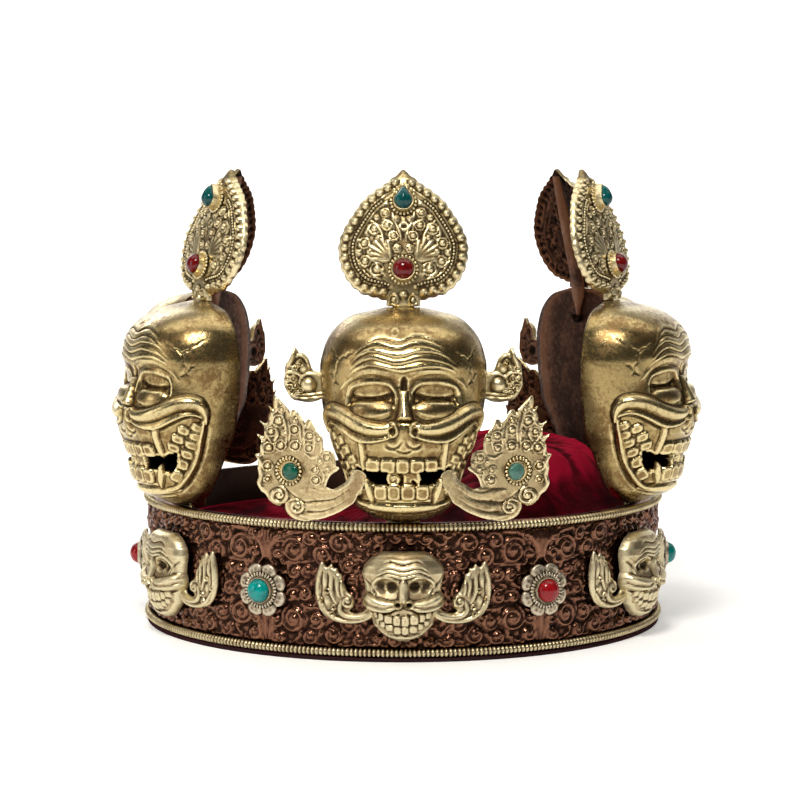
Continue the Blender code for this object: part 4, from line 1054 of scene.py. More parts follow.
# Number, turn from the front in degrees, and whether it has wings and ears
MASKS = ((1, 0.0, True), (2, 63.0, False), (3, 124.0, True), (4, 242.0, True), (5, 301.5, False))
MASK_SECTIONS = np.array([
    # height, half width, depth and how far the back edge tucks forward, as shares
    (0.000, 0.14, 0.34, 1.00), (0.030, 0.40, 0.56, 0.90), (0.090, 0.61, 0.80, 0.72),
    (0.140, 0.66, 0.85, 0.58), (0.185, 0.69, 0.88, 0.45), (0.235, 0.72, 0.90, 0.30),
    (0.300, 0.78, 0.95, 0.15), (0.380, 0.87, 1.02, 0.00), (0.460, 0.92, 1.04, 0.00),
    (0.540, 0.97, 1.00, 0.00), (0.620, 0.99, 0.96, 0.00), (0.720, 1.00, 0.96, 0.00),
    (0.800, 0.96, 0.94, 0.00), (0.860, 0.90, 0.87, 0.00), (0.915, 0.79, 0.73, 0.00),
    (0.960, 0.63, 0.50, 0.00), (1.000, 0.22, 0.10, 0.00),
])
# The power of the head's rounded cross section
MASK_ROUND = 2.3
# Points of the face, how many of them stand close over its features, and points across its back plate
FACE_COLUMNS, FACE_ROWS = 180, 180
CLOSE_COLUMNS, CLOSE_ROWS = 160, 164
BACK_COLUMNS = 14
# How deep the mouth's open corners go, and how dark the painted shade on their floors is
WELL_DEPTH, WELL_SHADE = 8.0, 6
BROW_LINES = (
    # The lower edge of each fold of the brow, from the top down
    ((-15, 63.4), (-12.6, 64.9), (-8.6, 66.5), (-4.7, 65.9), (-0.9, 65.3), (3.5, 66.7), (8.0, 66.4),
     (13, 64.2)),
    ((-18, 60.0), (-15.5, 62.2), (-12.0, 63.8), (-8.8, 64.2), (-4.6, 63.1), (-0.9, 62.9), (3.5, 64.3),
     (8.7, 64.1), (12.3, 62.7), (17, 60.4)),
    ((-19.5, 57.0), (-18, 58.2), (-15.2, 60.4), (-11.1, 61.7), (-6.6, 60.8), (-3, 59.9), (0.5, 60.2),
     (4.8, 61.5), (10.7, 61.3), (14.7, 60), (19, 57.2)),
    ((-20.5, 54.4), (-18.4, 55.9), (-15, 58.0), (-11.1, 59.2), (-6.5, 58.1), (-2.1, 57.3), (2.3, 58.1),
     (6, 58.9), (11.2, 58.4), (16.7, 56.8), (20.5, 54.4)),
    ((-22, 51.6), (-18.9, 53.9), (-15.3, 55.8), (-11.3, 56.8), (-6.6, 56.0), (-0.9, 54.6), (3.5, 55.5),
     (8, 56.3), (12.5, 56.2), (16.1, 55.2), (19, 53.8), (22, 51.4)),
    ((-23.5, 48.4), (-19.6, 51.6), (-12.5, 53.7), (-5.9, 52.9), (-1.2, 51.4), (2.4, 51.7), (6.6, 53.3),
     (13.2, 53.7), (20.0, 51.4), (23.5, 48.4)),
)
# How tall each fold stands, and how deep the line under it is cut
BROW_FOLDS = (0.20, 0.27, 0.30, 0.30, 0.26, 0.50)
BROW_CUTS = (0.40, 0.45, 0.45, 0.40, 0.30, 0.0)
MOLARS = (
    # place, half width, half height
    (31.1, 31.4, 1.9, 1.6), (26.2, 30.4, 2.1, 1.7), (29.9, 28.0, 2.0, 1.8),
    (23.2, 27.2, 2.1, 1.8), (27.0, 24.8, 2.0, 1.8), (20.2, 23.9, 2.1, 1.8),
    (24.1, 21.3, 2.0, 1.9), (21.2, 17.5, 2.2, 2.1), (18.2, 13.0, 2.4, 2.3),
)
UPPER_EDGES = (-13.4, -8.1, -2.7, 2.1, 7.3, 12.0)
LOWER_EDGES = (-10.2, -5.6, -1.0, 4.1, 8.8)
MOUTH_WELLS = (
    ((15.0, 20.2), (5.6, 20.2), (6.2, 17.8), (5.8, 15.2), (10.4, 15.2), (13.6, 17.8)),
    ((13.9, 18.8), (16.5, 20.8), (20.4, 21.6), (19.2, 17.6), (16.6, 14.0), (13.9, 14.6)),
)
EYE_SOCKET = (
    (21.2, 45.2), (20.5, 48.3), (18.6, 49.9), (13.0, 51.3), (6.2, 51.1), (3.1, 48.5), (2.5, 45.5),
    (2.9, 42.2), (5.6, 39.2), (12.0, 37.9), (18.3, 39.3), (21.0, 42.7), (21.2, 45.2),
)
EYE_SLIT = ((3.4, 47.0), (4.9, 46.7), (7.8, 45.9), (11.5, 45.4), (15.8, 45.4), (18.8, 45.8), (20.6, 46.2))


def curve_through(table, column, at):
    """A column of a section table, read with no overshoot between its rows."""
    x, y = table[:, 0], table[:, column]
    step, slope = np.diff(x), np.diff(y) / np.diff(x)
    lean = np.zeros_like(y)
    for i in range(1, len(x) - 1):
        if slope[i - 1] * slope[i] > 0:
            a, b = 2 * step[i] + step[i - 1], step[i] + 2 * step[i - 1]
            lean[i] = (a + b) / (a / slope[i - 1] + b / slope[i])
    lean[0], lean[-1] = slope[0], slope[-1]
    k = np.clip(np.searchsorted(x, at) - 1, 0, len(x) - 2)
    t, h = (at - x[k]) / step[k], step[k]
    low = (2 * t**3 - 3 * t**2 + 1) * y[k] + (t**3 - 2 * t**2 + t) * h * lean[k]
    return low + (3 * t**2 - 2 * t**3) * y[k + 1] + (t**3 - t**2) * h * lean[k + 1]


def in_polygon(x, z, corners):
    """Which places lie inside a closed line of corners."""
    inside = np.zeros(x.shape, bool)
    for (ax, az), (bx, bz) in zip(corners, corners[1:] + corners[:1]):
        if az != bz:
            inside ^= ((az > z) != (bz > z)) & (x < (bx - ax) * (z - az) / (bz - az) + ax)
    return inside


def chase_mask(c):
    """The face over unrolled places: across from its middle line, and up from its chin."""
    x, z, a = c.x, c.z, np.abs(c.x)
    # Folds of the brow lap down over each other, each with a soft lip over a thin dark line
    for line, tall, cut in zip(BROW_LINES, BROW_FOLDS, BROW_CUTS):
        c.lap(line, 3.2 if cut else 6.5, tall, (0.15, 0.15), over=False)
        c.groove(line, 0.62, cut)
    c.height -= 1.3 * eased(-z, -56.5, -52.0) * eased(z, 44.0, 50.0) * eased(-a, -25.0, -17.0)
    for side in (1, -1):
        # Eye: a socket under a soft brow edge, an upper lid that slopes in to the slit, a full lower lid
        which, off, _, _ = c.around(smooth_line(both_sides(EYE_SOCKET, side)), 8)
        inside = np.zeros(x.shape)
        inside[which] = eased(off, 0.0, 1.6)
        inside *= in_polygon(side * x, z, EYE_SOCKET[:-1])
        slit = np.interp(side * x, *np.array(EYE_SLIT).T)
        upper = -0.3 - 1.5 * np.clip((50.6 - z) / np.maximum(50.6 - slit, 1), 0, 1) ** 1.5
        ball = np.clip(1 - ((side * x - 11.4) / 9.8) ** 2 - ((z - 41.4) / 4.3) ** 2, 0, 1)
        lower = -1.5 + 2.7 * np.sqrt(ball)
        c.height += inside * np.where(z > slit, upper, lower)
        c.stroke(both_sides(EYE_SOCKET[:7], side), 3.4, 0.45, (0.2, 0.2), over=False, power=1.2)
        c.groove(both_sides(EYE_SLIT, side), 1.4, 0.9, (0.2, 0.2))
        # Cheek roll: smooth, from the nose up over the cheek and down at its outer end
        roll = [(5.0, 35.6), (7.5, 35.2), (10.5, 35.3), (13, 35.7), (17, 37.0), (20.5, 38.5)]
        roll += [(24, 39.9), (27.8, 40.5), (31.2, 40.1), (33.6, 38.4), (34.9, 35.8), (34.8, 33.0)]
        c.stroke(both_sides(roll, side), 6.4, 2.7, (0.7, 0.25), power=0.9)
        # The flare below it is cut under along a sharp crease
        crease = [(3.6, 33.0), (4.6, 32.0), (7.5, 30.9), (11, 30.2), (15, 30.1), (18.5, 31.1)]
        crease += [(21.5, 32.6), (25, 34.3), (28, 35.4), (30.6, 35.5), (33, 34.8)]
        c.lap(mirrored(crease, side), 4.8, 1.7, (0.6, 0.4))
        c.groove(both_sides(crease, side), 0.8, 0.7)
        # Pillar at the mouth's corner, and the fang below it
        pillar = [(15.2, 30.2), (14.9, 27.0), (14.6, 23.4), (14.7, 19.7)]
        c.stroke(both_sides(pillar, side), 3.0, 1.3, (1.0, 0.3), power=0.8)
        fang = [(13.3, 19.4), (12.8, 15.0), (11.9, 11.7), (11.1, 8.6)]
        c.stroke(both_sides(fang, side), 3.0, 1.7, (0.5, 0.25), power=0.7)
        for mx, mz, half, up in MOLARS:
            c.tooth(side * mx, mz, half, up, 0.85, -20 * side)
        # The lip that bounds the back teeth, between a thin crease and a dark one
        lip = [(34.0, 33.6), (32.6, 29.4), (29.3, 23.8), (26.2, 18.8)]
        lip += [(23.2, 14.4), (20.2, 11.2), (16.9, 8.6), (12.6, 7.6)]
        c.stroke(both_sides(lip, side), 2.6, 1.3, (0.6, 0.5), power=0.8)
        outside = [(36.0, 33.5), (34.6, 29.0), (31.3, 23.2), (28.2, 18.2)]
        outside += [(25.2, 13.6), (21.8, 10.0), (17.6, 7.4), (13.0, 6.2)]
        c.groove(both_sides(outside, side), 0.9, 0.6)
        # Suture of the temple
        jag = [(17.0, 62.6), (19.0, 61.2), (20.4, 60.9), (21.4, 59.8), (23.0, 59.9), (24.9, 58.3)]
        jag += [(26.2, 59.5), (27.2, 59.6), (28.3, 61.1), (29.8, 61.5), (31.4, 63.0), (33.0, 63.0)]
        c.groove(both_sides(jag, side), 0.55, 0.40, (0.0, 0.0), straight=True)
        branch = [(24.9, 58.3), (26.0, 56.6), (25.7, 54.9), (27.1, 53.4), (26.5, 51.8), (28.0, 50.0)]
        c.groove(both_sides(branch, side), 0.55, 0.32, straight=True)
        spur = [(30.2, 54.2), (28.6, 53.7), (26.8, 51.2), (24.6, 50.2)]
        c.groove(both_sides(spur, side), 0.55, 0.32, straight=True)
    # Nose: a narrow ridge that widens to its tip, with a dark slot at its root and a short column below it
    c.dome(0.2, 50.6, 1.5, -1.3, 3.0, over=False, power=0.8)
    t = np.clip((48.0 - z) / 9.6, 0, 1)
    half = 1.2 + 1.7 * t**1.4
    ridge = (0.8 + 2.7 * t) * np.clip(1 - (np.abs(x - 0.4 * t) / half) ** 2, 0, 1) ** 0.6
    ridge *= eased(z, 37.6, 39.0) * eased(-z, -48.6, -46.6)
    c.height = np.where(ridge > 0, np.maximum(c.height, ridge), c.height)
    c.plateau(0.0, 29.4, 15.8, 4.4, 0.7, 3.8)
    c.height += 1.5 * np.exp(-(((x - 0.6) / 2.9) ** 4)) * eased(z, 27.6, 34.0) * eased(-z, -38.4, -37.4)
    c.groove([(-2.2, 37.9), (0.4, 37.7), (3.0, 37.9)], 0.8, 0.7)
    for side in (1, -1):
        # Nostril: a curled edge round a small pit, and a curl on the lip below it
        curl = [(6.2, 36.2), (4.7, 37.3), (2.9, 36.9), (2.2, 35.1), (2.8, 33.5), (4.3, 32.9), (5.3, 33.9)]
        c.stroke(both_sides(curl, side), 1.4, 2.5, (0.4, 0.4), power=0.7)
        c.dome(side * 4.1, 35.1, 1.0, -1.2, over=False, power=0.8)
        lower_curl = [(0.6, 31.0), (1.9, 29.2), (3.8, 28.6), (5.6, 29.3), (6.2, 30.4)]
        c.groove(both_sides(lower_curl, side), 0.8, 0.7)
    c.groove([(-3.0, 28.4), (-1.2, 27.2), (0.4, 26.9), (1.8, 27.2), (2.9, 28.2)], 0.8, 0.7)
    # Two rows of flat teeth in their gums, with the tongue's scroll between them
    gap = eased(13.4 - a, 0.0, 0.7) * eased(z, 15.0, 15.7) * eased(-z, -20.0, -19.3)
    c.height -= 1.6 * gap * (c.height < 1.2)
    for edges, middle, up in ((UPPER_EDGES, 22.3, 2.7), (LOWER_EDGES, 12.9, 2.9)):
        for left, right in zip(edges, edges[1:]):
            c.tooth((left + right) / 2, middle, (right - left) / 2 + 0.1, up, 1.3)
        for edge in edges[1:-1]:
            c.groove([(edge, middle - up), (edge, middle + up)], 0.6, 0.45, (0.6, 0.6), straight=True)
    c.plateau(0.0, 9.5, 10.0, 0.9, 0.5, 0.5)
    c.scroll(-3.3, 17.5, 2.6, 1.5, 60, 1, 0.6)
    c.stroke([(0.6, 19.9), (1.6, 17.6), (1.0, 15.2)], 2.9, 0.45, (0.8, 0.8))
    c.stroke([(7.0, 15.6), (5.2, 17.6), (3.2, 19.4)], 3.6, 0.45, (0.5, 0.8))
    # Lower lip and chin
    c.groove([(-16.0, 8.9), (-8.0, 8.5), (0.2, 8.2), (5.0, 8.4), (10.0, 8.9)], 1.1, 0.9)
    lower_lip = [(-18.0, 7.6), (-9.0, 6.9), (0.2, 6.5), (9.0, 6.9), (18.0, 7.6)]
    c.stroke(lower_lip, 3.2, 0.9, (0.3, 0.3), power=0.8)
    chin = [(-14.0, 5.4), (-7.0, 4.8), (0.2, 4.5), (7.0, 4.8), (14.0, 5.4)]
    c.stroke(chin, 1.5, 0.5, (0.3, 0.3), over=False)
    # Forehead dimple
    c.ring(-2.9, 68.5, 1.2, 1.0, 0.08, over=False)
    c.dome(-2.9, 68.5, 0.8, -0.22, over=False, power=1)


shares = np.concatenate([
    np.linspace(0, 0.88, CLOSE_ROWS),
    np.linspace(0.88, 1, FACE_ROWS - CLOSE_ROWS + 1)[1:],
])
angles = np.linspace(-math.pi / 2, math.pi / 2, 2401)
wide = curve_through(MASK_SECTIONS, 1, shares) * MASK_HALF
deep = curve_through(MASK_SECTIONS, 2, shares) * MASK_DEPTH
tuck = curve_through(MASK_SECTIONS, 3, shares) * MASK_TUCK
form, unrolled = [], []
for w, d, k in zip(wide, deep, tuck):
    arc_x = w * np.sign(angles) * np.abs(np.sin(angles)) ** (2 / MASK_ROUND)
    arc_y = k + (d - k) * np.abs(np.cos(angles)) ** (2 / MASK_ROUND)
    arc = np.concatenate([[0], np.cumsum(np.hypot(np.diff(arc_x), np.diff(arc_y)))])
    arc -= arc[-1] / 2
    # Columns stand closer over the face than at the sides
    close = min(38.0, 0.80 * arc[-1])
    middle = np.linspace(-close, close, CLOSE_COLUMNS)
    outside = np.linspace(close, arc[-1], (FACE_COLUMNS - CLOSE_COLUMNS) // 2 + 1)[1:]
    at = np.concatenate([-outside[::-1], middle, outside])
    form.append(np.stack([np.interp(at, arc, arc_x), -np.interp(at, arc, arc_y), np.zeros(len(at))], 1))
    unrolled.append(at)
form, unrolled = np.array(form), np.array(unrolled)
form[..., 2] = (shares * MASK_HEIGHT)[:, None]
up_step, side_step = np.gradient(form, axis=0), np.gradient(form, axis=1)
normal = np.cross(side_step, up_step)
normal /= np.maximum(np.linalg.norm(normal, axis=2, keepdims=True), 1e-9)
face = Chasing(unrolled.ravel(), form[..., 2].ravel())
chase_mask(face)
relief = face.height.reshape(unrolled.shape)
relief *= eased(np.abs(unrolled[:, -1:]) - np.abs(unrolled), 0.3, 4.0) * eased(shares, 0.0, 0.03)[:, None]
# The mouth is open at its corners: deep wells whose floors are painted near-black as shade
well = np.zeros(unrolled.shape)
for corners in MOUTH_WELLS:
    well[in_polygon(np.abs(unrolled), form[..., 2], corners)] = WELL_SHADE
relief = np.where(well > 0, -WELL_DEPTH, relief)
surface = form + normal * relief[..., None]
share = np.linspace(0, 1, BACK_COLUMNS + 2)[1:-1, None]
bulge = np.array([0, 0.5, 0]) * (1 - (2 * share - 1) ** 4)
back = [row[-1] * (1 - share) + row[0] * share + bulge for row in form]
loop = np.concatenate([surface, np.array(back)], 1)
around = loop.shape[1]
faces = ring_faces(FACE_ROWS, around, False)
count = FACE_ROWS * around
last = count - around
j = np.arange(around)
ends = np.concatenate([
    np.stack([(j + 1) % around, j, np.full(around, count)], 1),
    np.stack([last + j, last + (j + 1) % around, np.full(around, count + 1)], 1),
])
points = np.vstack([loop.reshape(-1, 3), loop[0].mean(0) - (0, 0, 0.1), loop[-1].mean(0) + (0, 0, 0.1)])


def bar(line, half, thickness):
    """A flat bar along a line of (y, z) places, with its edges eased; half is its half width at each."""
    points = []
    for (y, z), h in zip(line, half):
        near, far, behind = y + 0.2 * thickness, y + 0.8 * thickness, y + thickness
        points += [(-h, near, z), (-h + 0.3, y, z), (h - 0.3, y, z), (h, near, z)]
        points += [(h, far, z), (h - 0.3, behind, z), (-h + 0.3, behind, z), (-h, far, z)]
    last = len(points) - 8
    fan = [(0, k + 1, k) for k in range(1, 7)] + [(last, last + k, last + k + 1) for k in range(1, 7)]
    return np.array(points), fan, ring_faces(len(line), 8, False)


tang_line = [(-8.2, -16.0), (-8.2, -8.0), (-8.2, 0.0), (-7.4, 1.8), (-6.6, 3.4)]
tang = bar(tang_line, [5.2, 6.0, 6.0, 6.0, 5.0], thickness=1.1)
sunk = np.zeros(len(points))
# Painted shade: the face is darkened over its last 7 mm towards its side edges, where it turns back
edge_painted_shade = 0.76 * eased(np.abs(unrolled) - np.abs(unrolled[:, -1:]), -7.0, -0.5)
sunk[:count] = np.concatenate([np.maximum(well, edge_painted_shade), np.zeros((FACE_ROWS, BACK_COLUMNS))], 1).ravel()
parts = joined([(points, ends, faces), tang])
mesh = solid_mesh("mask", *parts)
sunk = np.concatenate([sunk, np.zeros(len(parts[0]) - len(sunk))])
add_hollows(mesh, rounds=4, spread=0.21, sunk=sunk)
gilt = metal(
    "worn gilt",
    bright=(0.80, 0.66, 0.35), body=(0.41, 0.302, 0.130),
    tarnish=(0.23, 0.142, 0.056), dirt_and_shade=(0.030, 0.017, 0.008),
    tarnished=0.60, polish=0.05, bump=0.00014,
)
plate_copper = metal(
    "browned copper plate",
    bright=(0.22, 0.095, 0.047), body=(0.110, 0.047, 0.024),
    tarnish=(0.050, 0.022, 0.013), dirt_and_shade=(0.014, 0.007, 0.004),
    tarnished=0.8, polish=0.34, bump=0.00010, hammered=5.0,
)
# Faces behind the casting's back edge are the copper plate and the tang
middle = np.empty(len(mesh.polygons) * 3)
mesh.polygons.foreach_get("center", middle)
middle = middle.reshape(-1, 3)
back_edge = -np.interp(middle[:, 2] * 1000, shares * MASK_HEIGHT, tuck) * 0.001
mesh.polygons.foreach_set("material_index", (middle[:, 1] > back_edge - 1e-5).astype(np.int32))
stands = {}
winged_masks = []
to_rim = Matrix.Translation((0, -MASK_BACK * 0.001, MASK_BASE * 0.001))
for number, azimuth, winged in MASKS:
    stands[number] = Matrix.Rotation(math.radians(azimuth), 4, "Z") @ to_rim
    crown_piece(f"mask_{number}", mesh, [gilt, plate_copper], [f"skull_{number}"], stands[number])
    if winged:
        winged_masks.append(number)


# The finials: a leaf of chased sheet above each mask, soldered to a short neck and stiffened by a strap up
# its back that ends in a hook. Two settings hold a pointed turquoise above and a round coral below.
LEAF_FOOT, LEAF_HEIGHT, LEAF_HALF, LEAF_DISH = 78.6, 48.0, 23.1, 3.2
LEAF_LEAN = math.radians(15)
LEAF_SHEET = 1.4
HOOK_RADIUS, HOOK_WIRE, HOOK_STEPS, HOOK_TOP = 2.4, 0.9, 12, 65.2
LEAF_SECTIONS = np.array([
    # height and half width, as shares
    (0.000, 0.27), (0.020, 0.40), (0.045, 0.60), (0.085, 0.735), (0.140, 0.84), (0.210, 0.93),
    (0.300, 0.985), (0.370, 1.0), (0.440, 0.99), (0.520, 0.935), (0.600, 0.845), (0.680, 0.74),
    (0.760, 0.62), (0.830, 0.45), (0.885, 0.285), (0.940, 0.145), (0.985, 0.055), (1.000, 0.02),
])
DROP_STONE = {"radius": 3.2, "collar": 3.6, "dome": 2.8}
LEAF_STONE = {"radius": 3.7, "collar": 3.0, "dome": 2.8}
# Their places as shares of the leaf's height, and how far the upper one's top is drawn out
DROP_PLACE, LEAF_STONE_PLACE = 0.735, 0.212
DROP_DRAWN = 1.5
LEAF_BOSSES = (
    # place, radius
    (6.5, 31.2, 1.9), (10.4, 25.4, 2.3), (5.9, 26.6, 2.1), (14.0, 20.2, 2.2), (3.5, 22.6, 2.0),
    (13.7, 13.6, 2.2), (9.4, 10.6, 2.6), (9.6, 29.6, 1.1), (8.9, 22.0, 1.1), (16.0, 16.9, 1.2),
    (12.1, 17.2, 1.0), (2.3, 18.0, 1.6), (2.5, 29.0, 1.3),
)


def leaf_dish(x, z):
    """How far the dished leaf stands forward."""
    up = np.clip(z / LEAF_HEIGHT, 0, 1)
    half = np.interp(up, LEAF_SECTIONS[:, 0], LEAF_SECTIONS[:, 1]) * LEAF_HALF
    across = np.clip(np.abs(x) / np.maximum(half, 0.5), 0, 1)
    dish = LEAF_DISH * (1 - across**2) * np.sin(math.pi * np.minimum(1, 0.12 + 0.88 * up)) ** 0.7
    return np.where(z < 0, LEAF_DISH * 0.55 * np.clip(1 - (x / 7) ** 2, 0, 1), dish)


def on_leaf(x, z, forward):
    """Places on the leaf, up from its foot, in the mask's own frame; above its foot it leans back."""
    y = -leaf_dish(x, z) - forward + LEAF_SHEET
    high = np.maximum(z, 0)
    back = y * math.cos(LEAF_LEAN) + high * math.sin(LEAF_LEAN)
    tall = LEAF_FOOT + np.minimum(z, 0) + high * math.cos(LEAF_LEAN) - y * math.sin(LEAF_LEAN) * (z > 0)
    return np.stack([x, np.where(z > 0, back, y), tall], 1)


def leaf_edge(inset=0.0):
    """The leaf's edge from the neck up its right side to the tip."""
    side = smooth_line([(LEAF_HALF * w, LEAF_HEIGHT * u) for u, w in LEAF_SECTIONS], 7)
    step = np.gradient(side, axis=0)
    out = np.stack([step[:, 1], -step[:, 0]], 1) / np.hypot(*step.T)[:, None]
    return side - inset * out


def spaced(line, pitch):
    """Even places along a line."""
    lengths = np.concatenate([[0], np.cumsum(np.hypot(*np.diff(line, axis=0).T))])
    at = np.arange(0.5 * pitch, lengths[-1], lengths[-1] / max(1, round(lengths[-1] / pitch)))
    return np.stack([np.interp(at, lengths, line[:, k]) for k in (0, 1)], 1)


leaf_beads = leaf_edge(inset=1.9)
leaf_beads = spaced(leaf_beads[leaf_beads[:, 1] > 1.6], pitch=3.4)
leaf_beads = leaf_beads[leaf_beads[:, 1] < LEAF_HEIGHT - 4.6]


def chase_leaf(c):
    """The leaf, across and up from its foot."""
    c.height = 0.2 * eased(c.off, 0.0, 0.8)
    rim, inner, outer = (leaf_edge(inset) for inset in (1.5, 3.9, 6.1))
    inner = inner[(inner[:, 1] > 4.6) & (inner[:, 0] > 0.4)]
    outer = outer[(outer[:, 1] > 7.0) & (outer[:, 0] > 0.4)]
    for side in (1, -1):
        c.stroke(both_sides(rim[8::4], side), 3.4, 0.55, (0.9, 0.5))
        for x, z in leaf_beads:
            c.dome(side * x, z, 1.35, 1.55)
        c.stroke(both_sides(inner[::3], side), 0.75, 0.8, (0.7, 0.7))
        c.stroke(both_sides(outer[::3], side), 0.75, 0.8, (0.7, 0.7))
        for x, z, radius in LEAF_BOSSES:
            c.ring(side * x, z, radius - 0.35, 0.7, 0.75)
            c.dome(side * x, z, 0.62 * radius, 1.35, power=0.7)
        # A ribbed shell on either side of the lower stone
        for k in range(6):
            angle = math.radians(2 + 16 * k)
            reach = 8.4 - 0.30 * (k - 2.5) ** 2
            root = (side * 4.6, 14.0)
            tip = (root[0] + side * reach * math.cos(angle), root[1] + reach * math.sin(angle))
            halfway = ((root[0] + tip[0]) / 2, (root[1] + tip[1]) / 2)
            c.stroke([root, halfway, tip], 2.6, 0.8, (0.3, 1.0), power=0.9)
        # Ribbons that curl between the bosses
        for line in (
            ((3.9, 19.8), (6.6, 19.4), (8.0, 24.2), (11.6, 28.6)),
            ((0.9, 20.4), (1.2, 23.6), (3.6, 29.2), (4.0, 33.0)), ((12.0, 22.6), (13.2, 23.6), (12.6, 26.6)),
            ((6.2, 8.0), (10.4, 13.4), (11.0, 15.2)), ((15.9, 11.2), (16.9, 14.2), (17.2, 15.4)),
            ((3.4, 25.0), (4.0, 27.2), (7.6, 29.0)), ((5.6, 5.4), (9.0, 7.0), (12.8, 10.6)),
            ((8.4, 33.6), (6.9, 34.6), (4.6, 34.4)),
        ):
            c.stroke(both_sides(line, side), 1.3, 0.8, (0.4, 0.4), power=0.8)
        c.dome(side * 4.6, 4.4, 1.1, 1.1, power=0.7)
        c.dome(side * 7.2, 5.0, 0.8, 0.9, power=0.7)
        # Rosettes of the neck
        c.ring(side * 3.5, -0.2, 1.5, 0.8, 1.0)
        c.dome(side * 3.5, -0.2, 0.9, 1.5)
    c.dome(0, 1.4, 1.4, 1.4)
    c.dome(0.2, 26.2, 1.9, 0.9)
    c.dome(0.2, 26.2, 1.1, -0.9, over=False)


outline = [(6.0, -2.3), (6.1, -1.2), (5.9, 0.0)]
step = leaf_edge(inset=-1.0) - leaf_edge()
for (x, z), out in zip(leaf_edge()[1:-1], step[1:-1]):
    # The edge swells a little past each bead
    close = np.hypot(*(leaf_beads - (x, z)).T).min()
    swell = 0.5 * np.clip(1 - (close - 1.9) / 0.6, 0, 1) - 0.2
    outline.append((x + swell * out[0], z + swell * out[1]))
outline.append((0.0, LEAF_HEIGHT))
outline += [(-x, z) for x, z in reversed(outline[:-1])]
points, front, back, rim = chased_plate(
    outline, pitch=0.5, chase=chase_leaf, lay=on_leaf, thickness=LEAF_SHEET, pressed=0.45
)
parts = [(points, np.concatenate([front, back]), rim)]
beads = []


def set_square(x, z, forward, up):
    """Places of a setting that stands square to the leaf at its middle line."""
    dish = float(leaf_dish(np.zeros(1), np.array([up * LEAF_HEIGHT]))[0])
    y, high = -dish - forward, up * LEAF_HEIGHT + z
    back = y * math.cos(LEAF_LEAN) + high * math.sin(LEAF_LEAN)
    return np.stack([x, back, LEAF_FOOT + high * math.cos(LEAF_LEAN) - y * math.sin(LEAF_LEAN)], 1)


def bare_copper(mesh, *spans):
    """Gives a mesh's second material to spans of its faces, each as (first, how many)."""
    marks = np.zeros(len(mesh.polygons), np.int32)
    for first, count in spans:
        marks[first:first + count] = 1
    mesh.polygons.foreach_set("material_index", marks)


seats = {}
for name, stone, up, drop in (
    ("drop", DROP_STONE, DROP_PLACE, DROP_DRAWN),
    ("round", LEAF_STONE, LEAF_STONE_PLACE, None),
):
    seats[name] = lambda x, z, forward, up=up: set_square(x, z, forward, up)
    parts.append(stone_collar(stone, seats[name], drop))
    ring_radius = stone["radius"] + 1.25
    beads += beaded_ring(ring_radius, bead=0.62, forward=0.8, place=seats[name], drop=drop, stretch=1.1)
rope = leaf_edge(inset=5.0)
rope = spaced(rope[(rope[:, 1] > 4.6) & (rope[:, 0] > 1.2) & (rope[:, 1] < 36)], pitch=1.25)
for side in (1, -1):
    centres = on_leaf(side * rope[:, 0], rope[:, 1], np.full(len(rope), LEAF_SHEET + 0.35))
    beads += bead_row(centres, radius=0.52)
knee = (1.0, LEAF_FOOT + 0.5)
high = LEAF_HEIGHT * 0.93
tip = (high * math.sin(LEAF_LEAN) + 0.9, LEAF_FOOT + high * math.cos(LEAF_LEAN))
halfway = ((knee[0] + tip[0]) / 2, (knee[1] + tip[1]) / 2)
strap_line = [(0.5, HOOK_TOP), (0.5, 68.0), (0.5, 73.0), knee, halfway, tip]
strap = bar(strap_line, [1.0, 1.7, 3.8, 4.0, 3.4, 2.0], thickness=1.2)
hook = []
for step in range(HOOK_STEPS + 1):
    turn = math.pi * step / HOOK_STEPS
    centre = np.array([0.7 + HOOK_RADIUS * math.cos(turn), 1.3, HOOK_TOP - HOOK_RADIUS * math.sin(turn)])
    out = np.array([math.cos(turn), 0, -math.sin(turn)])
    for side in range(8):
        around = 2 * math.pi * side / 8
        hook.append(centre + HOOK_WIRE * (out * math.cos(around) + np.array([0, math.sin(around), 0])))
last = len(hook) - 8
hook_ends = [(0, k, k + 1) for k in range(1, 7)] + [(last, last + 1 + k, last + k) for k in range(1, 7)]
fittings = [strap, (np.array(hook), hook_ends, ring_faces(HOOK_STEPS + 1, 8, False))]
mesh = solid_mesh("leaf", *joined(parts + beads + fittings))
mesh.set_sharp_from_angle(angle=math.radians(75))
sunk = np.zeros(len(mesh.vertices))
# The bare tip is darker brown
brown_tip = 0.78 * eased(points[:, 2], LEAF_FOOT + 41.6, LEAF_FOOT + 43.4)
sunk[:len(points)] = np.maximum(dirt_and_shade_by_beads(points, beads), brown_tip)
add_hollows(mesh, rounds=4, spread=0.15, sunk=sunk)
leaf_gilt = metal(
    "chased gilt leaf",
    bright=(0.87, 0.74, 0.45), body=(0.47, 0.37, 0.19),
    tarnish=(0.25, 0.17, 0.075), dirt_and_shade=(0.035, 0.022, 0.010),
    tarnished=0.5, polish=0.18, bump=0.00010,
)
for number, stand in stands.items():
    crown_piece(f"finial_{number}", mesh, [leaf_gilt, plate_copper], [f"leaf_{number}"], stand)
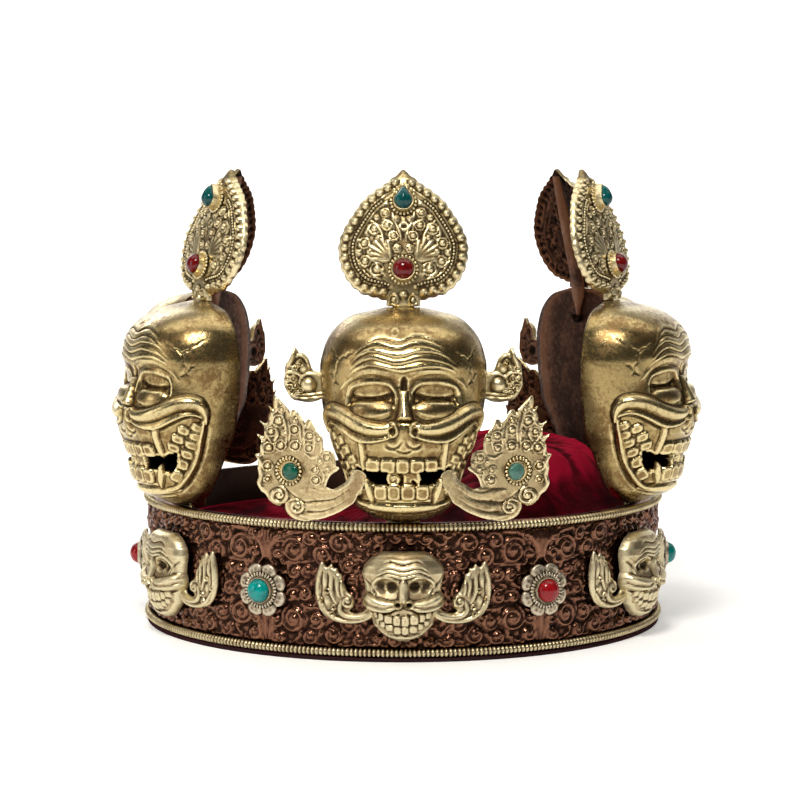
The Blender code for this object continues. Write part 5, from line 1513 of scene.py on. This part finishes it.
# The leaf's back, the strap and the hook have stayed bare copper
threes = sum(len(part[1]) for part in parts + beads + fittings)
own_threes, own_quads = (sum(len(part[k]) for part in fittings) for k in (1, 2))
fitting_spans = (threes - own_threes, own_threes), (len(mesh.polygons) - own_quads, own_quads)
bare_copper(mesh, (len(front), len(back)), *fitting_spans)
deep_turquoise = stone_material(
    "deep turquoise",
    colour=(0.0, 0.085, 0.080), deep=(0.0, 0.045, 0.048), pale=(0.0, 0.16, 0.14), scale=0.25,
)
deep_coral = stone_material(
    "deep coral",
    colour=(0.16, 0.003, 0.004), deep=(0.085, 0.001, 0.002), pale=(0.30, 0.015, 0.012), scale=0.35,
)
for name, stone, finish, slot, drop, cad in (
    ("drop", DROP_STONE, deep_turquoise, "turquoise", DROP_DRAWN, "leaf_drop"),
    ("round", LEAF_STONE, deep_coral, "coral", None, "leaf_cabochon"),
):
    stone_mesh = solid_mesh(f"leaf_{name}_stone", *joined([stone_dome(stone, seats[name], drop)]))
    for number, stand in stands.items():
        crown_piece(f"leaf_{name}_stone_{number}", stone_mesh, [finish], [f"{cad}_{number}"], stand)


# The wings: a grooved tusk that leaves each corner of a mask's mouth and turns up in a flame of small curls,
# sawn from thick sheet, chased all over and set with one green stone. Three masks carry them.
WING_SHEET = 1.3
WING_ROOT, WING_REACH = 23.6, 51.2
WING_STONE = {"radius": 3.1, "collar": 1.8, "dome": 2.4}
WING_STONE_PLACE = (41.2, 17.8)
WING_OUTLINE = (
    (28.3, 12.9), (27.6, 15.3), (26.3, 17.4), (23.9, 19.3), (23.6, 20.3), (25.3, 20.8), (24.6, 22.5),
    (25.3, 25.1), (26.9, 25.9), (28.9, 26.1), (29.2, 29.3), (29.9, 31.3), (31.6, 33.1), (32.9, 35.3),
    (33.7, 36.6), (34.8, 35.4), (35.4, 34.4), (35.8, 35.7), (37.3, 37.7), (39.1, 39.9), (40.6, 38.4),
    (41.3, 39.7), (43.0, 41.6), (45.0, 43.7), (46.3, 44.6), (46.6, 41.7), (46.5, 39.7), (48.4, 41.0),
    (47.5, 39.0), (48.3, 37.0), (48.3, 35.3), (49.5, 34.4), (51.4, 35.4), (50.0, 33.4), (49.9, 31.4),
    (50.2, 29.8), (52.4, 30.6), (50.8, 28.4), (51.2, 26.3), (51.5, 23.9), (53.2, 23.4), (52.0, 21.5),
    (52.2, 18.7), (51.8, 16.0), (52.4, 13.2), (51.1, 10.3), (49.5, 9.0), (48.1, 6.7), (45.8, 5.1),
    (43.8, 5.5), (42.4, 6.3), (42.4, 3.9), (40.8, 1.4), (38.1, 0.2), (34.4, 0.2), (29.7, 1.6), (24.6, 4.1),
    (21.3, 6.4), (18.8, 8.2), (17.5, 11.4), (15.4, 14.7), (14.7, 16.8), (14.9, 18.8), (17.3, 20.0),
    (19.5, 16.2), (22.3, 13.9), (25.4, 12.1),
)
WING_BOSSES = (
    # place, radius
    (45.1, 35.6, 2.1), (39.6, 32.7, 1.9), (39.8, 35.8, 1.1), (47.7, 31.7, 1.6), (48.5, 25.9, 1.9),
    (44.5, 26.8, 1.9), (39.4, 26.9, 1.9), (49.0, 19.4, 1.7), (34.3, 30.8, 1.7), (34.5, 26.3, 1.6),
    (31.3, 29.8, 1.3), (32.6, 18.7, 1.3), (32.2, 15.0, 1.7), (28.3, 23.3, 1.6), (28.4, 19.4, 1.1),
    (26.0, 21.4, 0.9), (44.2, 39.7, 1.1), (43.0, 31.4, 1.0), (36.8, 29.6, 0.9), (30.9, 21.9, 1.0),
    (49.0, 14.6, 1.2),
)


def wing_depth(x):
    """How far forward the wing stands at a place across."""
    out = np.clip((np.abs(x) / WING_REACH - 0.26) / 0.74, 0, 1)
    return 1.0 + (WING_ROOT - 1.0) * (1 - out) ** 1.6


def on_wing(x, z, forward):
    """Places on the wing in the mask's frame: it stands forward at the mouth and curves back to its edge."""
    slope = wing_depth(x + 0.5) - wing_depth(x - 0.5)
    length = np.sqrt(1 + slope**2)
    return np.stack([x + forward * slope / length, -wing_depth(x) - forward / length, z], 1)


def chase_wing(c, side):
    """The wing, across from the mask's middle and up from its chin."""
    c.height = 0.35 * eased(c.off, 0.0, 0.9)
    x = side * c.x
    # A rolled edge all round the flame, and ribs that rise between its bosses
    edge = (x > 27) & (c.z > 11)
    c.height += 0.45 * np.exp(-(((c.off - 0.75) / 0.45) ** 2)) * edge
    for line in (
        ((42.6, 27.8), (42.4, 32.0), (43.6, 37.0), (45.6, 42.6)), ((41.6, 28.6), (41.4, 32.4), (41.8, 36.2)),
        ((46.6, 28.4), (45.6, 31.0), (46.4, 33.6)), ((37.2, 27.8), (37.6, 31.0), (37.8, 35.4)),
        ((36.4, 27.2), (36.2, 30.4), (36.4, 34.4)), ((47.9, 28.2), (49.2, 30.4), (51.4, 35.0)),
        ((32.8, 26.4), (32.6, 29.4), (32.9, 33.4)), ((30.4, 24.8), (30.2, 27.4), (30.6, 30.4)),
        ((50.4, 23.4), (50.9, 26.4), (52.0, 30.0)), ((36.0, 24.3), (33.6, 22.8), (30.3, 24.0)),
        ((30.2, 17.4), (27.4, 17.6), (24.6, 19.8)), ((46.9, 36.0), (47.4, 38.2), (48.2, 40.6)),
        ((50.5, 18.6), (51.4, 21.4), (52.8, 23.3)), ((30.0, 14.0), (29.4, 16.4), (30.4, 19.6)),
    ):
        c.stroke(both_sides(line, side), 1.5, 0.95, (0.6, 0.3), power=0.9)
    for bx, bz, radius in WING_BOSSES:
        c.ring(side * bx, bz, radius, 0.60, 0.85)
        c.dome(side * bx, bz, 0.66 * radius, 1.55, power=0.6)
    # Scrolls under the stone, and the long tusk in three rounded bands with its grooves
    for sx, sz, radius, start in ((45.3, 8.9, 3.3, 100), (39.1, 5.1, 2.9, 40)):
        c.scroll(side * sx, sz, radius, 1.5, start if side == 1 else 180 - start, side, 1.3)
    upper = [(15.4, 18.0), (18.4, 14.9), (22.6, 12.2), (26.6, 10.6), (31.6, 10.0), (37.0, 11.0)]
    c.stroke(both_sides(upper, side), 5.4, 1.2, (0.8, 0.3), power=0.45)
    middle = [(16.6, 14.2), (20.6, 9.6), (25.4, 6.6), (31.0, 5.2), (35.4, 5.4)]
    c.stroke(both_sides(middle, side), 5.0, 1.2, (0.8, 0.4), power=0.45)
    lower = [(18.4, 10.4), (23.0, 6.2), (28.4, 3.4), (34.2, 1.8), (37.6, 1.9)]
    c.stroke(both_sides(lower, side), 3.2, 1.1, (0.6, 0.4), power=0.5)
    long_cut = [(43.1, 11.6), (39.7, 8.8), (36.4, 6.9), (31.3, 7.6)]
    long_cut += [(26.3, 8.6), (23.0, 10.7), (20.0, 13.2), (17.4, 16.4)]
    for line, depth in (
        (long_cut, 0.5),
        (((36.4, 3.4), (30.6, 3.9), (26.2, 5.6), (22.4, 8.0), (19.4, 11.2)), 0.45),
        (((33.0, 12.2), (29.6, 11.2), (26.3, 11.9), (23.0, 13.4)), 0.3),
    ):
        c.groove(both_sides(line, side), 0.65, 1.3 * depth)


wings, wing_seats = {}, {}
wing_gilt = metal(
    "chased gilt wing",
    bright=(0.88, 0.74, 0.45), body=(0.56, 0.435, 0.235),
    tarnish=(0.36, 0.25, 0.125), dirt_and_shade=(0.045, 0.028, 0.013),
    tarnished=0.5, polish=0.12, bump=0.00008,
)
for where, side in (("left", -1), ("right", 1)):
    outline = closed_outline(WING_OUTLINE, side, 3)
    points, front, back, rim = chased_plate(
        outline, pitch=0.42, chase=lambda c: chase_wing(c, side), lay=on_wing, thickness=WING_SHEET,
        pressed=0.7,
    )

    def seat(x, z, forward, side=side):
        """A setting that stands square to the wing."""
        at = side * WING_STONE_PLACE[0]
        slope = float(wing_depth(np.array(at + 0.5)) - wing_depth(np.array(at - 0.5)))
        c, s = 1 / math.sqrt(1 + slope**2), slope / math.sqrt(1 + slope**2)
        base = float(wing_depth(np.array(at))) + 1.6
        return np.stack([at + x * c + forward * s, -base - x * s - forward * c, WING_STONE_PLACE[1] + z], 1)

    wing_seats[where] = seat
    parts = [(points, np.concatenate([front, back]), rim), stone_collar(WING_STONE, seat)]
    beads = beaded_ring(radius=4.6, bead=0.72, forward=0.2, place=seat, stretch=1.3)
    mesh = solid_mesh(f"wing_{where}", *joined(parts + beads))
    mesh.set_sharp_from_angle(angle=math.radians(75))
    sunk = np.zeros(len(mesh.vertices))
    sunk[:len(points)] = dirt_and_shade_by_beads(points, beads)
    add_hollows(mesh, rounds=3, spread=0.13, sunk=sunk)
    bare_copper(mesh, (len(front), len(back)))
    wings[where] = mesh
deep_green = stone_material(
    "deep green stone",
    colour=(0.004, 0.105, 0.058), deep=(0.002, 0.050, 0.032), pale=(0.03, 0.22, 0.14), scale=0.3,
)
grey_green = stone_material(
    "grey green stone",
    colour=(0.085, 0.215, 0.165), deep=(0.045, 0.13, 0.10), pale=(0.20, 0.36, 0.29), scale=0.4,
)
for number in winged_masks:
    for where, finish in (("left", deep_green), ("right", grey_green)):
        own = f"{number}_{where}"
        metals = [wing_gilt, plate_copper]
        crown_piece(f"flame_wing_{own}", wings[where], metals, [f"wing_{own}"], stands[number])
        stone = solid_mesh(f"green_round_{own}", *joined([stone_dome(WING_STONE, wing_seats[where])]))
        crown_piece(f"green_stone_{own}", stone, [finish], [f"wing_stone_{own}"], stands[number])


# The ears: small flames of gilt sheet at the temples of the three winged masks, chased like the wings and
# held by a pin. Their backs are bare copper.
EAR_SHEET, EAR_BACK = 1.5, 0.5
EAR_OUTLINE = (
    (28.6, 43.6), (31.6, 42.4), (34.5, 42.1), (37.2, 42.6), (39.1, 42.9), (40.3, 43.9), (41.4, 45.7),
    (42.5, 47.9), (42.6, 49.8), (42.4, 52.7), (42.1, 55.6), (41.2, 56.7), (40.1, 59.1), (38.9, 61.9),
    (37.5, 60.2), (37.0, 59.5), (36.4, 59.9), (35.1, 59.2), (33.8, 57.5), (33.1, 55.4), (32.6, 54.0),
    (31.5, 53.0), (28.8, 52.6), (28.6, 48.0),
)
EAR_BOSSES = (
    # place, radius
    (40.6, 54.2, 1.0), (38.6, 54.4, 0.8), (41.3, 50.4, 0.9), (39.2, 50.6, 1.1), (38.6, 48.0, 1.0),
    (40.6, 47.4, 1.0), (36.6, 46.4, 0.8), (38.4, 45.4, 0.9),
)


def on_ear(x, z, forward):
    """Places on the flat ear, in the mask's frame."""
    return np.stack([x, -EAR_BACK - forward, z], 1)


def chase_ear(c, side):
    """The ear, across from the mask's middle and up from its chin."""
    c.height = 0.5 * np.sqrt(np.clip(c.off / 1.2, 0, 1))
    # A curl at the top by a pointed flame, a smooth boss in the middle, and bands that sweep under it
    curl = [(38.2, 58.6), (36.4, 59.0), (34.6, 57.4), (33.6, 54.8)]
    c.stroke(both_sides(curl, side), 1.3, 1.3, (0.5, 0.5), power=0.8)
    c.dome(side * 35.6, 54.6, 2.2, 1.1, 2.6, power=0.9)
    c.ring(side * 36.9, 56.0, 1.0, 0.8, 1.7)
    c.dome(side * 36.9, 56.0, 0.6, 1.9, power=0.8)
    c.stroke(both_sides([(41.0, 55.2), (40.0, 57.8), (39.0, 60.8)], side), 3.0, 1.2, (0.7, 0.2), power=0.9)
    sweep = [(42.0, 52.8), (39.8, 53.0), (37.6, 52.4), (36.0, 50.8)]
    c.stroke(both_sides(sweep, side), 1.6, 1.3, (0.6, 0.5), power=0.8)
    for x, z, radius in EAR_BOSSES:
        c.ring(side * x, z, radius, 0.6, 1.2)
        c.dome(side * x, z, 0.55 * radius, 1.4, power=0.7)
    c.dome(side * 33.9, 48.3, 3.1, 1.9, 2.9, power=0.7)
    for line in (
        ((28.8, 51.8), (32.4, 52.4), (34.6, 52.3), (36.6, 50.9), (37.2, 48.8)),
        ((41.8, 49.6), (41.4, 46.6), (39.4, 44.4), (36.0, 43.5), (28.8, 44.0)),
        ((37.6, 44.9), (34.8, 44.8), (28.8, 45.4)),
    ):
        c.stroke(both_sides(line, side), 1.2, 1.1, (0.5, 0.7), power=0.8)


for where, side in (("left", -1), ("right", 1)):
    outline = closed_outline(EAR_OUTLINE, side, 4)
    points, front, back, rim = chased_plate(
        outline, pitch=0.45, chase=lambda c: chase_ear(c, side), lay=on_ear, thickness=EAR_SHEET,
        pressed=0.5,
    )
    mesh = solid_mesh(f"ear_{where}", *joined([(points, np.concatenate([front, back]), rim)]))
    mesh.set_sharp_from_angle(angle=math.radians(75))
    add_hollows(mesh, rounds=5, spread=0.20)
    bare_copper(mesh, (len(front), len(back)))
    for number in winged_masks:
        own = f"{number}_{where}"
        crown_piece(
            f"flame_ear_{own}", mesh, [leaf_gilt, plate_copper], [f"ear_{own}"], stands[number]
        )


# The studio: a pale sheet that runs from the floor up behind the crown, soft lamps, and the camera at the
# front, a little above the rim. Its sizes are in metres.
SHEET_FRONT, SHEET_BACK, SHEET_BEND, SHEET_TOP, SHEET_HALF = -4.0, 2.0, 1.2, 5.0, 6.0
sheet_mesh = bpy.data.meshes.new("floor")
profile = [(SHEET_FRONT, 0.0), (SHEET_BACK, 0.0)]
for angle in np.linspace(0.1, math.pi / 2, 12):
    profile.append((SHEET_BACK + SHEET_BEND * math.sin(angle), SHEET_BEND - SHEET_BEND * math.cos(angle)))
profile.append((SHEET_BACK + SHEET_BEND, SHEET_TOP))
points = [(x, y, z) for y, z in profile for x in (-SHEET_HALF, SHEET_HALF)]
sheet_mesh.from_pydata(
    points, [], [(2 * k, 2 * k + 1, 2 * k + 3, 2 * k + 2) for k in range(len(profile) - 1)]
)
sheet_mesh.shade_smooth()
floor = bpy.data.objects.new("floor", sheet_mesh)
bpy.context.scene.collection.objects.link(floor)
paper = bpy.data.materials.new("pale paper")
paper.use_nodes = True
tree = paper.node_tree
shader = tree.nodes["Principled BSDF"]
grain = noise(tree, tree.nodes.new("ShaderNodeTexCoord").outputs["Object"], 40.0, 3)
colour = mixed(tree, grain, (0.86, 0.86, 0.85, 1), (0.89, 0.89, 0.88, 1))
tree.links.new(colour, shader.inputs["Base Color"])
shader.inputs["Roughness"].default_value = 0.8
shader.inputs["Specular IOR Level"].default_value = 0.1
shader.inputs["Emission Color"].default_value = (1.0, 1.0, 1.0, 1)
shader.inputs["Emission Strength"].default_value = 0.28
sheet_mesh.materials.append(paper)


def lamp(name, place, target, size, power, colour=(1, 1, 1)):
    """A soft rectangular lamp that faces a target; its power is in watts."""
    light = bpy.data.lights.new(name, "AREA")
    light.shape = "RECTANGLE"
    light.size, light.size_y = size
    light.energy = power
    light.color = colour
    item = bpy.data.objects.new(name, light)
    bpy.context.scene.collection.objects.link(item)
    item.location = place
    item.rotation_euler = (Vector(target) - Vector(place)).to_track_quat("-Z", "Y").to_euler()


lamp("key", (-0.17, -0.98, 1.22), (0, 0, 0.08), size=(0.34, 0.34), power=15.5, colour=(1.0, 0.96, 0.90))
lamp("top", (0.0, 0.10, 1.4), (0, 0, 0.0), size=(2.4, 0.8), power=11.5, colour=(1.0, 0.97, 0.92))
lamp("rear", (-0.7, 1.2, 0.8), (0, 0, 0.10), size=(0.5, 0.4), power=2.5)
lamp("backdrop", (0.0, 0.9, 1.6), (0, 3.0, 0.6), size=(2.5, 0.6), power=60.0)
lamp("side", (-1.15, -0.45, 0.42), (0, 0, 0.10), size=(0.5, 0.7), power=2.4, colour=(1.0, 0.95, 0.88))
world = bpy.data.worlds.new("studio")
bpy.context.scene.world = world
world.use_nodes = True
background = world.node_tree.nodes["Background"]
background.inputs["Color"].default_value = (1.0, 0.96, 0.90, 1)
background.inputs["Strength"].default_value = 0.08
bpy.context.scene.view_settings.view_transform = "Standard"
# The camera's place, lens and tilt are fitted to the band's two rims in the photo
CAMERA_TILT = 5.33
camera = bpy.data.objects.new("camera", bpy.data.cameras.new("camera"))
bpy.context.scene.collection.objects.link(camera)
camera.data.lens, camera.data.sensor_width, camera.data.clip_end = 115.07, 36.0, 30.0
camera.location = (-0.0012, -1.0, 0.178)
camera.rotation_euler = (math.radians(90 - CAMERA_TILT), 0, 0)
bpy.context.scene.camera = camera
